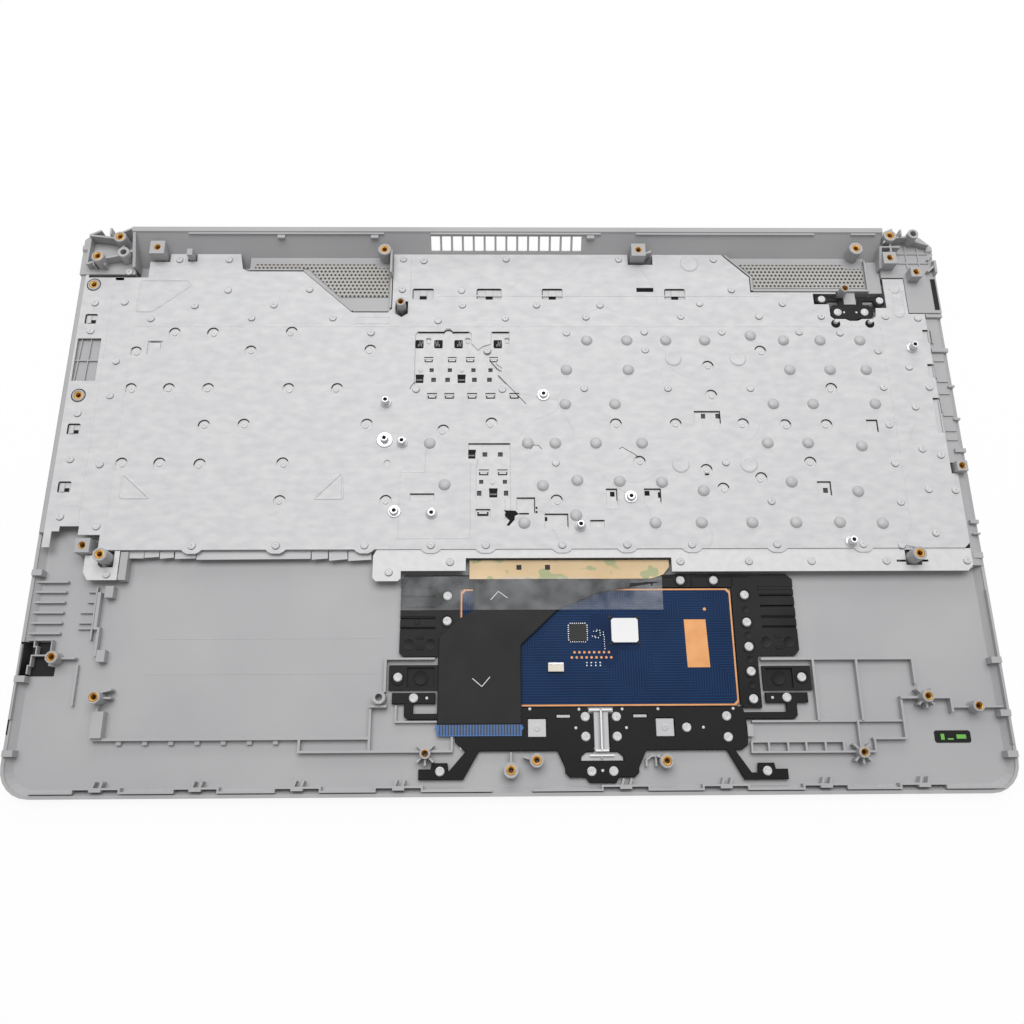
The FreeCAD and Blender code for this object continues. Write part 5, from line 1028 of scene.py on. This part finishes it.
def hole_group():
    # Round holes in staggered rows.
    group, entry, result = new_group(
        "staggered_holes", [("Vector", "NodeSocketVector", None), ("Pitch", "NodeSocketFloat", 0.0022),
                            ("Size", "NodeSocketFloat", 0.22)], [("Holes", "NodeSocketFloat")])

    def step(kind, first, second=None):
        node = group.nodes.new("ShaderNodeMath")
        node.operation = kind
        for socket, value in zip(node.inputs, (first, second)):
            if isinstance(value, (int, float)):
                socket.default_value = value
            elif value is not None:
                group.links.new(value, socket)
        return node.outputs[0]

    split = group.nodes.new("ShaderNodeSeparateXYZ")
    group.links.new(entry.outputs["Vector"], split.inputs[0])
    v = step("DIVIDE", split.outputs["Y"], entry.outputs["Pitch"])
    odd = step("MULTIPLY", step("FLOORED_MODULO", step("FLOOR", v), 2.0), 0.5)
    u = step("ADD", step("DIVIDE", split.outputs["X"], entry.outputs["Pitch"]), odd)
    du = step("SUBTRACT", step("FRACT", u), 0.5)
    dv = step("SUBTRACT", step("FRACT", v), 0.5)
    away = step("SQRT", step("ADD", step("MULTIPLY", du, du), step("MULTIPLY", dv, dv)))
    group.links.new(step("LESS_THAN", away, entry.outputs["Size"]), result.inputs["Holes"])
    return group


# The holes are only painted, near black: painted shade where the openings are, with no openings in the
# mesh.
lay_over(speaker_face, hole_group(), {"Pitch": 0.00195, "Size": 0.3}, "Holes", (12, 11, 10), 1.0)
dress("left_speaker_mesh", speaker_face)
dress("right_speaker_mesh", speaker_face)

# Small stuck-on pieces: black insulating film at the left edge and the sides,
# and a printed sticker, whose words are plain bars here.
dull_black = finish("film_matt_black", (26, 26, 27), (20, 20, 21), 0.5, grain=700.0, shine=0.25)
for name in ("insulator_film", "left_edge_film", "right_edge_film"):
    dress(name, dull_black)
bm = bmesh.new()
bmesh.ops.create_grid(bm, x_segments=12, y_segments=1, size=1.0)
for v in bm.verts:
    x = -207.3 + (v.co.x + 1) / 2 * 3.7
    v.co = (x, -74.85 + v.co.y * 7.05, 4.66 if x < -206.2 else 4.66 - (x + 206.2) * 1.12)
flap = made("film_flap", bm, dull_black)
skin = flap.modifiers.new("film", "SOLIDIFY")
skin.thickness = 0.0001
skin.offset = 1
bm = bmesh.new()
for x0, x1, y0, y1 in ((-202.2, -201.6, -69.6, -66.8), (-202.2, -200.4, -70.2, -69.6),
                       (-201.0, -200.4, -73.4, -70.2), (-202.6, -195.4, -73.9, -73.3),
                       (-202.6, -202.0, -77.6, -73.9), (-203.6, -202.0, -78.2, -77.6),
                       (-203.6, -203.0, -81.4, -78.2), (-205.0, -194.6, -67.4, -66.9),
                       (-194.9, -194.4, -72.6, -67.4)):
    block(bm, x0, x1, y0, y1, 1.6, 4.8)
soften(bm, 0.08)
made("film_walls", bm, case_grey)
beads("floor_lines", [([(-152, -66.5), (-56, -66.5)], False), ([(-156, -81.5), (-56, -81.5)], False)],
      1.6, case_grey, 0.14)
bm = bmesh.new()
for x0, x1, y0, turn in ((-168.4, -160.5, -31.6, 0), (-160.3, -154.0, -31.2, 4),
                         (-153.6, -147.6, -31.6, 5), (-147.0, -138.0, -31.8, 2),
                         (-137.6, -88.0, -32.2, 0.3), (-87.6, -80.5, -32.2, 4), (-80.0, -72.0, -32.6, 5),
                         (-71.6, -61.5, -32.8, 3)):
    block(bm, x0, x1, y0, -28.4, 4.6, 5.0, turn)
soften(bm, 0.08)
made("under_lip", bm, clip_grey)
sticker = finish("sticker_black", (22, 24, 22), (18, 20, 18), 0.35, shine=0.25)
dress("code_label", sticker)
bm = bmesh.new()
for x0, x1, y0, y1 in ((178.4, 179.9, -110.0, -107.6), (181.2, 183.6, -110.0, -109.4),
                       (185.0, 189.0, -109.6, -107.9)):
    block(bm, x0, x1, y0, y1, 1.8, 1.84)
made("sticker_bars", bm, finish("sticker_green", (110, 180, 74), (96, 164, 62), 0.4))

# The stage is a pale floor under one wide soft lamp above and behind, with a
# narrow strip low behind it. The camera takes the photograph's view from above.
bm = bmesh.new()
bmesh.ops.create_grid(bm, x_segments=1, y_segments=1, size=3.0)
bmesh.ops.translate(bm, verts=bm.verts, vec=(0, 0, -0.0002))
floor_mesh = bpy.data.meshes.new("floor")
bm.to_mesh(floor_mesh)
bm.free()
floor = bpy.data.objects.new("floor", floor_mesh)
bpy.context.scene.collection.objects.link(floor)
floor_paint = bpy.data.materials.new("floor_paint")
floor_paint.use_nodes = True
tree = floor_paint.node_tree
tree.nodes["Principled BSDF"].inputs["Base Color"].default_value = (0.86, 0.86, 0.86, 1)
tree.nodes["Principled BSDF"].inputs["Roughness"].default_value = 0.9
glow = tree.nodes.new("ShaderNodeEmission")
glow.inputs["Strength"].default_value = 1.0
path = tree.nodes.new("ShaderNodeLightPath")
share = tree.nodes.new("ShaderNodeMath")
share.operation = "MULTIPLY"
share.inputs[1].default_value = 0.92
seen = tree.nodes.new("ShaderNodeMath")
seen.operation = "MAXIMUM"
tree.links.new(path.outputs["Is Camera Ray"], seen.inputs[0])
tree.links.new(path.outputs["Is Glossy Ray"], seen.inputs[1])
tree.links.new(seen.outputs[0], share.inputs[0])
blend = tree.nodes.new("ShaderNodeMixShader")
tree.links.new(share.outputs[0], blend.inputs[0])
tree.links.new(tree.nodes["Principled BSDF"].outputs[0], blend.inputs[1])
tree.links.new(glow.outputs[0], blend.inputs[2])
tree.links.new(blend.outputs[0], tree.nodes["Material Output"].inputs["Surface"])
floor_mesh.materials.append(floor_paint)

world = bpy.data.worlds.new("studio")
bpy.context.scene.world = world
world.use_nodes = True
tree = world.node_tree
tree.nodes["Background"].inputs["Color"].default_value = (1, 1, 1, 1)
path = tree.nodes.new("ShaderNodeLightPath")
level = tree.nodes.new("ShaderNodeMapRange")
level.inputs["To Min"].default_value = 0.4
level.inputs["To Max"].default_value = 1.0
tree.links.new(path.outputs["Is Camera Ray"], level.inputs["Value"])
tree.links.new(level.outputs["Result"], tree.nodes["Background"].inputs["Strength"])


def lamp(name, place, size, power):
    light = bpy.data.lights.new(name, "AREA")
    light.shape = "RECTANGLE"
    light.size, light.size_y = size
    light.energy = power
    holder = bpy.data.objects.new(name, light)
    holder.location = place
    holder.rotation_euler = (-Vector(place)).to_track_quat("-Z", "Y").to_euler()
    bpy.context.scene.collection.objects.link(holder)


lamp("top_softbox", (0.0, 0.75, 1.9), (2.2, 1.3), 34.0)
lamp("rear_strip", (0.0, 1.9, 0.9), (2.0, 0.5), 9.0)

yaw, tilt, roll = math.radians(2.53), math.radians(71.86), math.radians(2.27)
ahead = Vector((math.sin(yaw) * math.cos(tilt), math.cos(yaw) * math.cos(tilt), -math.sin(tilt)))
right = Vector((math.cos(yaw), -math.sin(yaw), 0))
up = right.cross(ahead)
turned_right = math.cos(roll) * right + math.sin(roll) * up
turned_up = -math.sin(roll) * right + math.cos(roll) * up
camera_data = bpy.data.cameras.new("camera")
camera_data.sensor_width = 36.0
camera_data.lens = 31.155
camera_data.clip_start = 0.01
camera = bpy.data.objects.new("camera", camera_data)
camera.matrix_world = Matrix.Translation((-0.0053, -0.1335, 0.3800)) @ Matrix(
    (turned_right, turned_up, -ahead)).transposed().to_4x4()
bpy.context.scene.collection.objects.link(camera)
bpy.context.scene.camera = camera
bpy.context.scene.view_settings.view_transform = "Standard"
